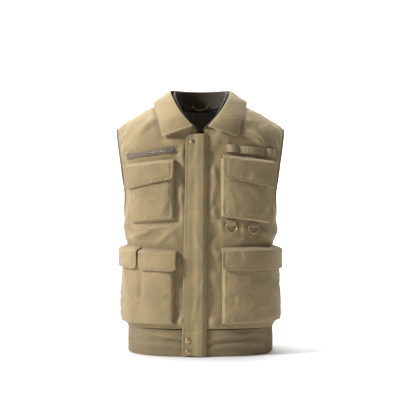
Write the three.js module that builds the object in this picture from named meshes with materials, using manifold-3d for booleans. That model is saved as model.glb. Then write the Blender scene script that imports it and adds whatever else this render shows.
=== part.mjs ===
// Padded fishing vest, zipped up and standing on its hem as if worn.
// Millimetres, +Z up, -Y out of the wearer's chest, +X towards the wearer's left hand.
// The body is a form of rounded-square sections. Every piece is laid on it by two
// measures: reach, the distance round the body from the centre front (positive to the
// wearer's left), and height z. Lift is the distance out from the form along its normal.
import * as THREE from 'three';
import { mergeVertices } from 'three/addons/utils/BufferGeometryUtils.js';
import Module from 'manifold-3d';

const wasm = await Module();
wasm.setup();

// ---- driving dimensions ----
const GAP = 0.3;
const SEAM_Y = 14;
const SQUARENESS = 2.6;
const WAIST_SEAM_Z = 67;
const BLOUSE_Z = 112;
const WAIST_Z = 240;
const SHOULDER_Z = 560;
const HALF_WIDTH = { hem: 190, blouse: 198, waist: 190, shoulder: 226 };
const BACK_DEPTH = { hem: 128, blouse: 134, waist: 126, shoulder: 130 };
const FRONT_DEPTH = { hem: 150, top: 108 };
const RIDGE = { centre: 655, end: 580, reach: 219, power: 2.3 };
const NECK = { halfWidth: 80, frontZ: 560, backDrop: 18 };
const BACK_ARCH = 100;
const ARMHOLE = { bottomZ: 335, widestZ: 420, widest: 30, shoulder: 22 };
const LAYER = { shell: 2, bag: 0.8, air: 1.6, quilting: 5, band: 7 };
const SEAT = 0.8;
const ZIP = { slot: 6, tape: 1.2, bead: 2.4, beadHeight: 1.6, bottomZ: 3, topZ: 556 };
const SLIDER = { length: 13, lid: 2.2, lip: 1.5, lug: 1.3, lugLength: 1.6, lugHeight: 2.4, clearance: 0.35 };
const PULL = { main: 26, chest: 16, width: 6.4, thickness: 1.4, eye: 2.4, bar: 1.2 };
const FLY = { seamTop: 19, seamBottom: 16, widthTop: 56, widthBottom: 63, topZ: 559, bottomZ: 2, thick: 3.4 };
const FLY_TUNNEL = { overZip: 9, overSnaps: 5, freeEdge: 3.4, zipFrom: 10, zipTo: -7, snapsFrom: -11, lip: 4 };
const SNAP = { capR: 7.5, capHeight: 2.4, postR: 2, socketR: 6, socketHeight: 1.4, inset: [17, 15, 16], z: [538, 40, 12] };
const COLLAR = { stand: 3.6, leaf: 4.4, bulge: 7, seamGap: 1.9 };
const COLLAR_ROLL = [[19, -104, 577], [48, -88, 614], [66, -58, 651], [72, -22, 673], [64, 26, 681], [38, 60, 683], [0, 70, 683]];
const COLLAR_EDGE = [[93, 552], [101, 588], [112, 625]];
const COLLAR_BACK_EDGE = [[117, -8, 648], [108, 52, 642], [70, 113, 620], [0, 131, 606]];
const BINDING = { width: 5, lip: 1.2, seamGap: 1.9 };
const ELASTIC = { front: 54, back: 126 };
const FABRIC = 1.8;
const FLAP = { thick: 2.6, rise: 10 };
const PATCH = { thick: 1, height: 16, halfWidth: 18, fromEdge: 6, clearance: 0.7 };
const CHEST_ZIP = { inner: 66, innerZ: 520, outer: 196, outerZ: 503, width: 13, tape: 1, bead: 1.9, beadHeight: 1.4, lift: 3, sliderAt: 0.138 };
const BAG = { near: 76, far: 172, depth: 110, drop: 6 };
const LOOPS = { stitches: [65.6, 98, 166.5, 199], top: 533, fall: 0.09, height: 19, thick: 1.8, standOff: 9.5, stitchWidth: 5 };
const RING = { wire: 1.6, halfWidth: 13.9, neck: 5, tabWidth: 23, tabHeights: [13, 9.5], webbing: 1.2, clearance: 0.4 };
const RING_REACH = [78.5, 136];
const RING_Z = [329, 326];
const HANGER = { share: 0.045, height: 0.3, drop: 15, section: 1.2 };

// Pockets: reach and height of the four corners of each body, and the flaps over it.
// near is the edge next to the centre front, far the edge next to the side.
const POCKETS = [
  { name: 'chest_pocket_right', side: -1, near: 66, far: 184, top: [486, 474], bottom: [343, 334], depth: 15, seat: SEAT,
    flaps: [{ name: 'chest_flap_right', near: 66, far: 190, top: [497, 487], bottom: [444, 418] }] },
  { name: 'chest_pocket_left', side: 1, near: 52, far: 182, top: [497, 486], bottom: [349, 332], depth: 15, seat: SEAT,
    flaps: [{ name: 'chest_flap_left', near: 57, far: 190, top: [508, 495], bottom: [447, 422] }] },
  { name: 'lower_pocket_right', side: -1, near: 66, far: 232, top: [255, 262], bottom: [80, 80], depth: 20, seat: 3.3,
    flaps: [
      { name: 'lower_flap_right', near: 59, far: 149, top: [266, 272], bottom: [211, 214] },
      { name: 'side_flap_right', near: 154, far: 236, top: [273, 278], bottom: [215, 221] },
    ] },
  { name: 'lower_pocket_left', side: 1, near: 54, far: 234, top: [238, 238], bottom: [80, 84], depth: 20, seat: 3.3,
    flaps: [{ name: 'lower_flap_left', near: 52, far: 237, top: [272, 276], bottom: [214, 214] }] },
];

const DEG = Math.PI / 180;

// ---- cloth and metal ----
const finish = (color, roughness, metalness) => () =>
  new THREE.MeshStandardMaterial({ color, roughness, metalness });
const KHAKI = finish(0xa3927a, 0.9, 0);
const KHAKI_DARK = finish(0x8b7a5f, 0.9, 0);
const LINING = finish(0x4b4438, 0.85, 0);
const WADDING = finish(0xe8e6de, 1, 0);
const TAPE = finish(0x8f8273, 0.8, 0);
const BRASS = finish(0x8f7754, 0.4, 0.9);
const NICKEL = finish(0xb9b4aa, 0.3, 1);
const HOOK = finish(0x6f624c, 0.95, 0);

const vest = new THREE.Group();

function place(name, geometry, material, matrix) {
  const mesh = new THREE.Mesh(geometry, material());
  mesh.name = name;
  if (matrix) mesh.applyMatrix4(matrix);
  vest.add(mesh);
  return mesh;
}

// ---- the form ----
const ease = (t) => t * t * (3 - 2 * t);
const clamp = THREE.MathUtils.clamp;
const mix = THREE.MathUtils.lerp;

function station(sizes, z) {
  if (z < WAIST_SEAM_Z) return sizes.hem;
  if (z < BLOUSE_Z) return mix(sizes.hem, sizes.blouse, ease((z - WAIST_SEAM_Z) / (BLOUSE_Z - WAIST_SEAM_Z)));
  if (z < WAIST_Z) return mix(sizes.blouse, sizes.waist, ease((z - BLOUSE_Z) / (WAIST_Z - BLOUSE_Z)));
  return mix(sizes.waist, sizes.shoulder, ease(clamp((z - WAIST_Z) / (SHOULDER_Z - WAIST_Z), 0, 1)));
}

const frontDepth = (z) => mix(FRONT_DEPTH.hem, FRONT_DEPTH.top, Math.min(z, NECK.frontZ) / NECK.frontZ);
const ridgeZ = (x) => RIDGE.centre - (RIDGE.centre - RIDGE.end) * (Math.abs(x) / RIDGE.reach) ** RIDGE.power;
const FRONT_ARCH = RIDGE.centre - NECK.frontZ;

function section(bearing) {
  const c = Math.cos(bearing);
  const s = Math.sin(bearing);
  const r = (Math.abs(c) ** SQUARENESS + Math.abs(s) ** SQUARENESS) ** (-1 / SQUARENESS);
  return { across: r * s, deep: r * c };
}

// rise runs from 0 at the hem to 1 where the shoulder begins to turn over and 2 on its ridge.
function onForm(bearing, rise) {
  const { across, deep } = section(bearing);
  const front = deep > 0;
  const arch = front ? FRONT_ARCH : BACK_ARCH;
  const turn = ridgeZ(HALF_WIDTH.shoulder * across) - arch;
  const angle = Math.max(rise - 1, 0) * Math.PI / 2;
  const z = rise < 1 ? rise * turn : turn + arch * Math.sin(angle);
  const depth = front ? frontDepth(z) : station(BACK_DEPTH, z);
  return new THREE.Vector3(station(HALF_WIDTH, z) * across, SEAM_Y - depth * deep * Math.cos(angle), z);
}

function riseAt(bearing, z) {
  const { across, deep } = section(bearing);
  const arch = deep > 0 ? FRONT_ARCH : BACK_ARCH;
  const turn = ridgeZ(HALF_WIDTH.shoulder * across) - arch;
  return z < turn ? z / turn : 1 + Math.asin(clamp((z - turn) / arch, 0, 1)) / (Math.PI / 2);
}

function normalAt(bearing, rise) {
  const e = 0.004;
  const across = onForm(bearing + e, rise).sub(onForm(bearing - e, rise));
  const up = onForm(bearing, rise + e).sub(onForm(bearing, Math.max(rise - e, 0)));
  return across.cross(up).normalize();
}

function lifted(bearing, rise, lift, flat = false) {
  const normal = normalAt(bearing, rise);
  if (flat) normal.setZ(0).normalize();
  return onForm(bearing, rise).addScaledVector(normal, lift);
}

// Bearing of the point that lies a given reach round the body at height z.
function bearingOf(reach, z) {
  const step = DEG / 2;
  let bearing = 0;
  let travelled = 0;
  let here = onForm(0, riseAt(0, z));
  while (travelled < Math.abs(reach)) {
    const next = onForm(bearing + step, riseAt(bearing + step, z));
    const gone = Math.hypot(next.x - here.x, next.y - here.y);
    if (travelled + gone >= Math.abs(reach)) {
      bearing += step * (Math.abs(reach) - travelled) / gone;
      break;
    }
    travelled += gone;
    bearing += step;
    here = next;
  }
  return Math.sign(reach) * bearing;
}

function cloth(reach, z, lift, flat) {
  const bearing = bearingOf(reach, z);
  return lifted(bearing, riseAt(bearing, z), lift, flat);
}

// ---- mesh helpers ----
function volume(positions, index) {
  const a = new THREE.Vector3();
  const b = new THREE.Vector3();
  const c = new THREE.Vector3();
  let sum = 0;
  for (let i = 0; i < index.length; i += 3) {
    a.fromArray(positions, index[i] * 3);
    b.fromArray(positions, index[i + 1] * 3);
    c.fromArray(positions, index[i + 2] * 3);
    sum += a.dot(b.cross(c));
  }
  return sum;
}

function geometryFrom(points, index) {
  const positions = points.flatMap((p) => [p.x, p.y, p.z]);
  if (volume(positions, index) < 0) index.reverse();
  const geometry = new THREE.BufferGeometry();
  geometry.setAttribute('position', new THREE.Float32BufferAttribute(positions, 3));
  geometry.setIndex(index);
  return geometry;
}

// A closed piece of cloth: at(u, v, face) gives its outer face (1) and its inner face (0).
function sheet(at, across, up) {
  const points = [];
  const index = [];
  const id = (i, j, face) => (face * (up + 1) + j) * (across + 1) + i;
  for (const face of [0, 1]) {
    for (let j = 0; j <= up; j++) {
      for (let i = 0; i <= across; i++) points.push(at(i / across, j / up, face));
    }
  }
  const quad = (a, b, c, d) => index.push(a, b, c, a, c, d);
  for (let j = 0; j < up; j++) {
    for (let i = 0; i < across; i++) {
      quad(id(i, j, 1), id(i + 1, j, 1), id(i + 1, j + 1, 1), id(i, j + 1, 1));
      quad(id(i, j + 1, 0), id(i + 1, j + 1, 0), id(i + 1, j, 0), id(i, j, 0));
    }
    quad(id(0, j, 0), id(0, j, 1), id(0, j + 1, 1), id(0, j + 1, 0));
    quad(id(across, j, 1), id(across, j, 0), id(across, j + 1, 0), id(across, j + 1, 1));
  }
  for (let i = 0; i < across; i++) {
    quad(id(i, 0, 0), id(i + 1, 0, 0), id(i + 1, 0, 1), id(i, 0, 1));
    quad(id(i, up, 1), id(i + 1, up, 1), id(i + 1, up, 0), id(i, up, 0));
  }
  return geometryFrom(points, index);
}

// A closed ring or an open bar: corners(t) gives the corners of its section at t.
function sweep(corners, steps, closed) {
  const rows = closed ? steps : steps + 1;
  const points = [];
  const index = [];
  for (let k = 0; k < rows; k++) points.push(...corners(k / steps));
  const sides = points.length / rows;
  for (let k = 0; k < steps; k++) {
    const next = (k + 1) % rows;
    for (let s = 0; s < sides; s++) {
      const t = (s + 1) % sides;
      index.push(k * sides + s, next * sides + s, next * sides + t, k * sides + s, next * sides + t, k * sides + t);
    }
  }
  if (!closed) {
    for (let s = 1; s < sides - 1; s++) {
      index.push(0, s, s + 1);
      index.push((rows - 1) * sides, (rows - 1) * sides + s + 1, (rows - 1) * sides + s);
    }
  }
  return geometryFrom(points, index);
}

function solid(geometry) {
  const plain = geometry.clone();
  plain.deleteAttribute('normal');
  plain.deleteAttribute('uv');
  const merged = mergeVertices(plain, 1e-4);
  return new wasm.Manifold(new wasm.Mesh({
    numProp: 3,
    vertProperties: new Float32Array(merged.attributes.position.array),
    triVerts: new Uint32Array(merged.index.array),
  }));
}

function geometryOf(body) {
  const mesh = body.getMesh();
  const geometry = new THREE.BufferGeometry();
  geometry.setAttribute('position', new THREE.Float32BufferAttribute(mesh.vertProperties, 3));
  geometry.setIndex(Array.from(mesh.triVerts));
  return geometry;
}

// ---- body panels ----
const BLOUSE_START = WAIST_SEAM_Z + GAP;
const SEAM_ANGLE = GAP / 2 / FRONT_DEPTH.top;
const SIDE = Math.PI / 2;

// Side edge of a panel, from the waist seam up the side seam and round the armhole to the
// shoulder point: bearing is counted from the centre line that the panel starts from.
function sideEdge(v, back) {
  const seam = back ? SIDE + SEAM_ANGLE : SIDE - SEAM_ANGLE;
  const away = back ? 1 : -1;
  const low = riseAt(seam, BLOUSE_START);
  const bottom = riseAt(seam, ARMHOLE.bottomZ);
  const widest = riseAt(seam + away * ARMHOLE.widest * DEG, ARMHOLE.widestZ);
  const [seamShare, turnShare] = [0.34, 0.56];
  if (v <= seamShare) return { bearing: seam, rise: mix(low, bottom, v / seamShare) };
  if (v <= turnShare) {
    const turn = (v - seamShare) / (turnShare - seamShare) * Math.PI / 2;
    return {
      bearing: seam + away * ARMHOLE.widest * DEG * Math.sin(turn),
      rise: mix(bottom, widest, (turn / (Math.PI / 2)) ** 1.3),
    };
  }
  const t = (v - turnShare) / (1 - turnShare);
  return {
    bearing: seam + away * mix(ARMHOLE.widest, ARMHOLE.shoulder, ease(t)) * DEG,
    rise: mix(widest, 2, t),
  };
}

// The neckline is an ellipse seen from above, through the neck points on the ridge.
const NECK_FRONT_Y = SEAM_Y - FRONT_DEPTH.top;
const BACK_SINE = (BACK_ARCH - NECK.backDrop) / BACK_ARCH;
const NECK_BACK_Y = SEAM_Y + BACK_DEPTH.shoulder * Math.sqrt(1 - BACK_SINE ** 2);
const NECK_MID_Y = (NECK_FRONT_Y + NECK_BACK_Y) / 2;
const NECK_HALF_DEPTH = (NECK_BACK_Y - NECK_FRONT_Y) / 2;

function neckline(angle) {
  const x = NECK.halfWidth * Math.sin(angle);
  const y = NECK_MID_Y - NECK_HALF_DEPTH * Math.cos(angle) - SEAM_Y;
  const across = Math.abs(x) / HALF_WIDTH.shoulder;
  const deep = (1 - across ** SQUARENESS) ** (1 / SQUARENESS);
  const front = y < 0;
  const depth = front ? FRONT_DEPTH.top : BACK_DEPTH.shoulder;
  const bearing = Math.sign(x || 1) * (front ? Math.atan2(across, deep) : Math.PI - Math.atan2(across, deep));
  const cosine = clamp(Math.abs(y) / (depth * deep), 0, 1);
  return { bearing, rise: 1 + Math.acos(cosine) / (Math.PI / 2) };
}

// Angle on the ellipse at which the neckline crosses the shoulder ridge.
const NECK_POINT = Math.acos(clamp((NECK_MID_Y - SEAM_Y) / NECK_HALF_DEPTH, -1, 1));

// Fills a panel between its four edges, each a function from 0 to 1 that gives a spot.
function between(bottom, top, near, far) {
  const fill = (key, u, v) =>
    mix(bottom(u)[key], top(u)[key], v) + mix(near(v)[key], far(v)[key], u)
    - mix(mix(bottom(0)[key], bottom(1)[key], u), mix(top(0)[key], top(1)[key], u), v);
  return (u, v) => ({ bearing: fill('bearing', u, v), rise: fill('rise', u, v) });
}

const SHOULDER_POINT = sideEdge(1, false);
const BACK_SHOULDER_POINT = sideEdge(1, true);
const NECK_SPOT = { ...neckline(NECK_POINT), rise: 2 };
const along = (a, b, t) => ({ bearing: mix(a.bearing, b.bearing, t), rise: mix(a.rise, b.rise, t) });

function centreFront(v) {
  const share = 0.7;
  const z = mix(BLOUSE_START, NECK.frontZ, Math.min(v / share, 1));
  const bearing = ZIP.slot / frontDepth(z);
  if (v <= share) return { bearing, rise: riseAt(bearing, z) };
  if (v === 1) return NECK_SPOT;
  const start = Math.asin(ZIP.slot / NECK.halfWidth);
  return neckline(mix(start, NECK_POINT, (v - share) / (1 - share)));
}

function frontPanel(side, outer, inner) {
  const spot = between(
    (u) => along(centreFront(0), sideEdge(0, false), u),
    (u) => along(NECK_SPOT, SHOULDER_POINT, u),
    centreFront,
    (v) => sideEdge(v, false),
  );
  return sheet((u, v, face) => {
    const { bearing, rise } = spot(u, v);
    const point = lifted(side * bearing, rise, face ? outer : inner);
    if (v === 0) point.z = BLOUSE_START;
    if (v === 1) point.y = SEAM_Y - GAP / 2;
    return point;
  }, 9, 15);
}

function backPanel(outer, inner) {
  const shoulderShare = 0.3;
  const mirror = (spot) => ({ bearing: 2 * Math.PI - spot.bearing, rise: spot.rise });
  const backNeck = { ...neckline(NECK_POINT + 1e-3), rise: 2 };
  const halfTop = (t) => (t <= shoulderShare
    ? along(BACK_SHOULDER_POINT, backNeck, t / shoulderShare)
    : neckline(mix(NECK_POINT + 1e-3, Math.PI, (t - shoulderShare) / (0.5 - shoulderShare))));
  const low = { bearing: Math.PI, rise: riseAt(Math.PI, BLOUSE_START) };
  const halfLow = (t) => along(sideEdge(0, true), low, t * 2);
  const spot = between(
    (u) => (u <= 0.5 ? halfLow(u) : mirror(halfLow(1 - u))),
    (u) => (u <= 0.5 ? halfTop(u) : mirror(halfTop(1 - u))),
    (v) => sideEdge(v, true),
    (v) => mirror(sideEdge(v, true)),
  );
  return sheet((u, v, face) => {
    const { bearing, rise } = spot(u, v);
    const point = lifted(bearing, rise, face ? outer : inner);
    const onShoulder = Math.abs(2 * u - 1) >= 1 - 2 * shoulderShare - 1e-9;
    if (v === 0) point.z = BLOUSE_START;
    if (v === 1 && onShoulder) point.y = SEAM_Y + GAP / 2;
    return point;
  }, 18, 15);
}

const SHELL_IN = -LAYER.shell;
const BAG_OUT = SHELL_IN - LAYER.air;
const QUILT_OUT = BAG_OUT - LAYER.bag - LAYER.air;
const QUILT_IN = QUILT_OUT - LAYER.quilting;
const LAYERS = [
  ['shell', 0, SHELL_IN, KHAKI],
  ['quilted_lining', QUILT_OUT, QUILT_IN, LINING],
];
for (const [layer, outer, inner, material] of LAYERS) {
  place(`${layer}_front_right`, frontPanel(-1, outer, inner), material);
  place(`${layer}_front_left`, frontPanel(1, outer, inner), material);
  place(`${layer}_back`, backPanel(outer, inner), material);
}


// ---- pocket bag of the chest zip, between the shell and the quilted lining ----
place('chest_zip_bag', sheet((u, v, face) => {
  const z = CHEST_ZIP.outerZ - BAG.drop - BAG.depth * (1 - v);
  return cloth(-mix(BAG.far, BAG.near, u), z, face ? BAG_OUT : BAG_OUT - LAYER.bag);
}, 8, 4), LINING);

// ---- waistband ----
function bandPiece(name, side, from, to, steps) {
  const joint = GAP / 2 / HALF_WIDTH.hem;
  place(name, sheet((u, v, face) => {
    const z = mix(0, WAIST_SEAM_Z, v);
    const start = from === 0 ? ZIP.slot / frontDepth(z) : from * DEG + joint;
    const bearing = mix(start, to * DEG - joint, u);
    const point = lifted(bearing, riseAt(bearing, z), face ? 0 : -LAYER.band, true).setZ(z);
    return point.setX(side * point.x);
  }, steps, 3), KHAKI_DARK);
}

for (const [label, side] of [['right', -1], ['left', 1]]) {
  bandPiece(`waistband_front_${label}`, side, 0, ELASTIC.front, 8);
  bandPiece(`side_elastic_${label}`, side, ELASTIC.front, ELASTIC.back, 10);
}
bandPiece('waistband_back', 1, ELASTIC.back, 360 - ELASTIC.back, 14);

// ---- collar: a stand round the neck and a leaf folded down over it ----
const mirrorX = ([x, y, z]) => [-x, y, z];
const vector = ([x, y, z]) => new THREE.Vector3(x, y, z);
const bothSides = (half) => [...half.map(mirrorX), ...half.slice(0, -1).reverse()].map(vector);
const throughAll = (points) => new THREE.CatmullRomCurve3(points, false, 'centripetal');
const rollLine = throughAll(bothSides(COLLAR_ROLL));

function onChest([x, z]) {
  const across = x / station(HALF_WIDTH, z);
  const bearing = Math.atan2(across, (1 - across ** SQUARENESS) ** (1 / SQUARENESS));
  return lifted(bearing, riseAt(bearing, z), SEAT + 0.5 + COLLAR.leaf / 2).toArray();
}

const leafEdge = throughAll(bothSides([...COLLAR_EDGE.map(onChest), ...COLLAR_BACK_EDGE]));
const NECK_AXIS = new THREE.Vector3(0, NECK_MID_Y, 0);
const outFromNeck = (point) => point.clone().sub(NECK_AXIS).setZ(0).normalize();

// A point of the stand: u goes round from the wearer's left, v up from the neck seam.
function standPoint(u, v, inside) {
  const start = Math.asin(ZIP.slot / NECK.halfWidth);
  const angle = mix(start, 2 * Math.PI - start, u);
  const { bearing, rise } = neckline(angle > Math.PI ? angle - 2 * Math.PI : angle);
  const seam = lifted(bearing, rise, inside ? -COLLAR.stand : 0);
  seam.addScaledVector(outFromNeck(seam), -COLLAR.seamGap);
  if (Math.cos(angle) > 0.9) seam.z += GAP;
  const roll = rollLine.getPointAt(1 - u);
  if (inside) roll.addScaledVector(outFromNeck(roll), -COLLAR.stand);
  return seam.lerp(roll, v);
}
place('collar_stand', sheet((u, v, face) => standPoint(u, v, !face), 24, 3), KHAKI_DARK);

function leafMiddle(u, v) {
  const roll = rollLine.getPointAt(clamp(u, 0, 1));
  const away = outFromNeck(roll);
  roll.addScaledVector(away, COLLAR.leaf / 2 + 2 * GAP);
  const point = roll.lerp(leafEdge.getPointAt(clamp(u, 0, 1)), v);
  return point.addScaledVector(away, COLLAR.bulge * Math.sin(Math.PI * clamp(v, 0, 1)));
}

place('collar_leaf', sheet((u, v, face) => {
  const e = 0.01;
  const alongLeaf = leafMiddle(Math.min(u + e, 1), v).sub(leafMiddle(Math.max(u - e, 0), v));
  const downLeaf = leafMiddle(u, v + e).sub(leafMiddle(u, v - e));
  const normal = downLeaf.cross(alongLeaf).normalize();
  return leafMiddle(u, v).addScaledVector(normal, (face ? 0.5 : -0.5) * COLLAR.leaf);
}, 28, 6), KHAKI);

place('hanger_loop', sweep((t) => {
  const from = standPoint(0.5 - HANGER.share, HANGER.height, true);
  const to = standPoint(0.5 + HANGER.share, HANGER.height, true);
  const hang = Math.sin(Math.PI * t);
  const point = from.lerp(to, t);
  point.y -= HANGER.section + 1.2 + 2 * hang;
  point.z -= HANGER.drop * hang ** 0.6;
  const w = HANGER.section;
  return [[-w, -w], [w, -w], [w, w], [-w, w]].map(([y, z]) => {
    const tilt = Math.cos(Math.PI * t) * 0.9;
    return new THREE.Vector3(point.x + z * Math.sin(tilt) * 1.2, point.y + y, point.z + z * Math.cos(tilt));
  });
}, 10, false), KHAKI_DARK);

// ---- armhole bindings ----
function armholeBinding(side) {
  const seamShare = 0.34;
  const spotAt = (t) => {
    const back = t > 0.5;
    const v = back ? mix(1, seamShare, (t - 0.5) * 2) : mix(seamShare, 1, t * 2);
    return sideEdge(v, back);
  };
  return sweep((t) => {
    const spot = spotAt(t);
    const here = lifted(side * spot.bearing, spot.rise, 0);
    const a = spotAt((t + 0.985) % 1);
    const b = spotAt((t + 0.015) % 1);
    const tangent = lifted(side * b.bearing, b.rise, 0).sub(lifted(side * a.bearing, a.rise, 0)).normalize();
    const normal = normalAt(side * spot.bearing, spot.rise);
    const inward = tangent.clone().cross(normal).normalize().multiplyScalar(side);
    const corner = (lift, into) => here.clone().addScaledVector(normal, lift).addScaledVector(inward, into);
    const near = BINDING.seamGap;
    const far = near + BINDING.width;
    return [
      corner(BINDING.lip, near), corner(BINDING.lip, far),
      corner(QUILT_IN - BINDING.lip, far), corner(QUILT_IN - BINDING.lip, near),
    ];
  }, 36, true);
}
place('armhole_binding_right', armholeBinding(-1), KHAKI_DARK);
place('armhole_binding_left', armholeBinding(1), KHAKI_DARK);

// ---- centre front: a straight line that leans back as it rises ----
const LEAN = Math.atan((FRONT_DEPTH.hem - FRONT_DEPTH.top) / NECK.frontZ);
const ACROSS = new THREE.Vector3(1, 0, 0);
const OUT = new THREE.Vector3(0, -Math.cos(LEAN), Math.sin(LEAN));
const DOWN = new THREE.Vector3(0, -Math.sin(LEAN), -Math.cos(LEAN));
const onCentre = (x, z, lift) => new THREE.Vector3(x, SEAM_Y - frontDepth(z), z).addScaledVector(OUT, lift);
const centreMatrix = (x, z, lift) =>
  new THREE.Matrix4().makeBasis(ACROSS, OUT, DOWN).setPosition(onCentre(x, z, lift));
const outline = (points) => new THREE.Shape(points.map(([x, y]) => new THREE.Vector2(x, y)));
const extrude = (shape, depth) =>
  new THREE.ExtrudeGeometry(shape, { depth, bevelEnabled: false, curveSegments: 10 });
const zipLength = (ZIP.topZ - ZIP.bottomZ) / Math.cos(LEAN);

for (const [name, side] of [['zip_tape_right', -1], ['zip_tape_left', 1]]) {
  const inner = GAP / 2;
  const bead = inner + ZIP.bead;
  const outer = ZIP.slot - GAP;
  const face = -0.4;
  const back = face - ZIP.tape;
  const section2d = outline([
    [inner, ZIP.beadHeight - 0.2], [inner, back - 0.4], [bead, back - 0.4], [bead, back],
    [outer, back], [outer, face], [bead, face], [bead, ZIP.beadHeight - 0.2],
  ].map(([x, y]) => [side * x, y]));
  place(name, extrude(section2d, zipLength), TAPE, centreMatrix(0, ZIP.topZ, 0));
}

place('underfly', extrude(outline([[-16, -4.4], [4, -4.4], [4, -3.4], [-16, -3.4]]),
  (ZIP.topZ - 12 - BLOUSE_START) / Math.cos(LEAN)), KHAKI_DARK, centreMatrix(0, ZIP.topZ - 10, 0));

// A slider is a lid with two lips that ride beside the teeth, and a lug that holds the pull.
function sliderGeometry(beadHalf, beadTop, lipBottom) {
  const inner = beadHalf + SLIDER.clearance;
  const outer = inner + SLIDER.lip;
  const under = beadTop + SLIDER.clearance;
  const top = under + SLIDER.lid;
  const body = extrude(outline([
    [-outer, top], [-outer, lipBottom], [-inner, lipBottom], [-inner, under],
    [inner, under], [inner, lipBottom], [outer, lipBottom], [outer, top],
  ]), SLIDER.length);
  const lug = new THREE.BoxGeometry(2 * SLIDER.lug, SLIDER.lugHeight + 0.4, 2 * SLIDER.lugLength);
  lug.translate(0, top + SLIDER.lugHeight / 2 - 0.2, 0.4);
  return { geometry: geometryOf(solid(body).add(solid(lug))), top };
}

function pullGeometry(length, lift) {
  const half = PULL.width / 2;
  const shape = outline([
    [-half, -PULL.eye - PULL.bar], [half, -PULL.eye - PULL.bar], [half, length - half],
    [half / 2, length], [-half / 2, length], [-half, length - half],
  ]);
  const eye = SLIDER.lug + SLIDER.clearance;
  shape.holes.push(outline([[-eye, -PULL.eye], [-eye, PULL.eye], [eye, PULL.eye], [eye, -PULL.eye]]));
  const plate = extrude(shape, PULL.thickness);
  plate.translate(0, 0, -PULL.thickness / 2);
  plate.applyMatrix4(new THREE.Matrix4().makeBasis(
    new THREE.Vector3(-1, 0, 0), new THREE.Vector3(0, 0, 1), new THREE.Vector3(0, 1, 0)));
  plate.translate(0, lift, 0.4);
  return plate;
}

const sliderZ = ZIP.topZ - 6;
const mainSlider = sliderGeometry(GAP / 2 + ZIP.bead, ZIP.beadHeight - 0.2, -0.1);
const pullLift = (top) => top + SLIDER.lugHeight / 2;
place('main_zip_slider', mainSlider.geometry, NICKEL, centreMatrix(0, sliderZ, 0));
place('main_zip_pull', pullGeometry(PULL.main, pullLift(mainSlider.top)), NICKEL, centreMatrix(0, sliderZ, 0));

// ---- storm flap over the zip, sewn down on the wearer's left and snapped on the right ----
const flySeamX = (z) => mix(FLY.seamBottom, FLY.seamTop, z / FLY.topZ);
const flyFreeX = (z) => flySeamX(z) - mix(FLY.widthBottom, FLY.widthTop, z / FLY.topZ);

function flyUnderside(z) {
  return [
    [flyFreeX(z), FLY_TUNNEL.freeEdge],
    [flyFreeX(z) + FLY_TUNNEL.lip, FLY_TUNNEL.overSnaps],
    [FLY_TUNNEL.snapsFrom, FLY_TUNNEL.overSnaps],
    [FLY_TUNNEL.zipTo, FLY_TUNNEL.overZip],
    [FLY_TUNNEL.zipFrom, FLY_TUNNEL.overZip],
    [flySeamX(z), SEAT],
  ];
}

const snapSpots = SNAP.z.map((z, i) => ({ z, x: flyFreeX(z) + SNAP.inset[i] }));
let fly = solid(sheet((u, v, face) => {
  const z = mix(FLY.bottomZ, FLY.topZ, v);
  const [x, lift] = flyUnderside(z)[Math.round(u * 5)];
  return onCentre(x, z, lift + (face ? FLY.thick : 0));
}, 5, 8));
for (const { x, z } of snapSpots) {
  const hole = new THREE.CylinderGeometry(SNAP.postR + GAP, SNAP.postR + GAP, 30, 16);
  hole.applyMatrix4(centreMatrix(x, z, 5));
  fly = fly.subtract(solid(hole));
}
place('storm_flap', geometryOf(fly), KHAKI);

const flyTop = FLY_TUNNEL.overSnaps + FLY.thick;
snapSpots.forEach(({ x, z }, i) => {
  const profile = (points) => points.map(([r, y]) => new THREE.Vector2(r, y));
  const socket = FLY_TUNNEL.overSnaps - GAP;
  const cap = new THREE.LatheGeometry(profile([
    [0, socket - SNAP.socketHeight], [SNAP.socketR, socket - SNAP.socketHeight], [SNAP.socketR, socket],
    [SNAP.postR, socket], [SNAP.postR, flyTop + GAP], [SNAP.capR, flyTop + GAP],
    [SNAP.capR, flyTop + GAP + 1], [SNAP.capR * 0.7, flyTop + SNAP.capHeight], [0, flyTop + SNAP.capHeight + GAP],
  ]), 12);
  const stud = new THREE.LatheGeometry(profile([
    [0, GAP], [SNAP.socketR, GAP], [SNAP.socketR, 1.2], [SNAP.postR, 1.4], [SNAP.postR, 2.4], [0, 2.9],
  ]), 12);
  const part = ['top', 'waist', 'hem'][i];
  place(`snap_cap_${part}`, cap, BRASS, centreMatrix(x, z, 0));
  place(`snap_stud_${part}`, stud, BRASS, centreMatrix(x, z, 0));
});

// ---- chest zip on the wearer's right, along an arc that fits the chest ----
const zipPoint = (t) => cloth(-mix(CHEST_ZIP.inner, CHEST_ZIP.outer, t),
  mix(CHEST_ZIP.innerZ, CHEST_ZIP.outerZ, t), CHEST_ZIP.lift);
const [zipA, zipB, zipC] = [0, 0.5, 1].map(zipPoint);
const chord1 = zipB.clone().sub(zipA);
const chord2 = zipC.clone().sub(zipA);
const zipAxis = chord1.clone().cross(chord2).normalize();
const zipCentre = zipA.clone().add(
  chord1.clone().multiplyScalar(chord2.lengthSq()).sub(chord2.clone().multiplyScalar(chord1.lengthSq()))
    .cross(chord1.clone().cross(chord2)).multiplyScalar(-1).negate()
    .divideScalar(-2 * chord1.clone().cross(chord2).lengthSq()),
);
const zipRadius = zipA.distanceTo(zipCentre);
const zipSweep = zipA.clone().sub(zipCentre).angleTo(zipC.clone().sub(zipCentre));
const onZip = (t, out, side) => {
  const arm = zipA.clone().sub(zipCentre).applyAxisAngle(zipAxis, zipSweep * t).normalize();
  return zipCentre.clone().addScaledVector(arm, zipRadius + out).addScaledVector(zipAxis, side);
};

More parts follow.
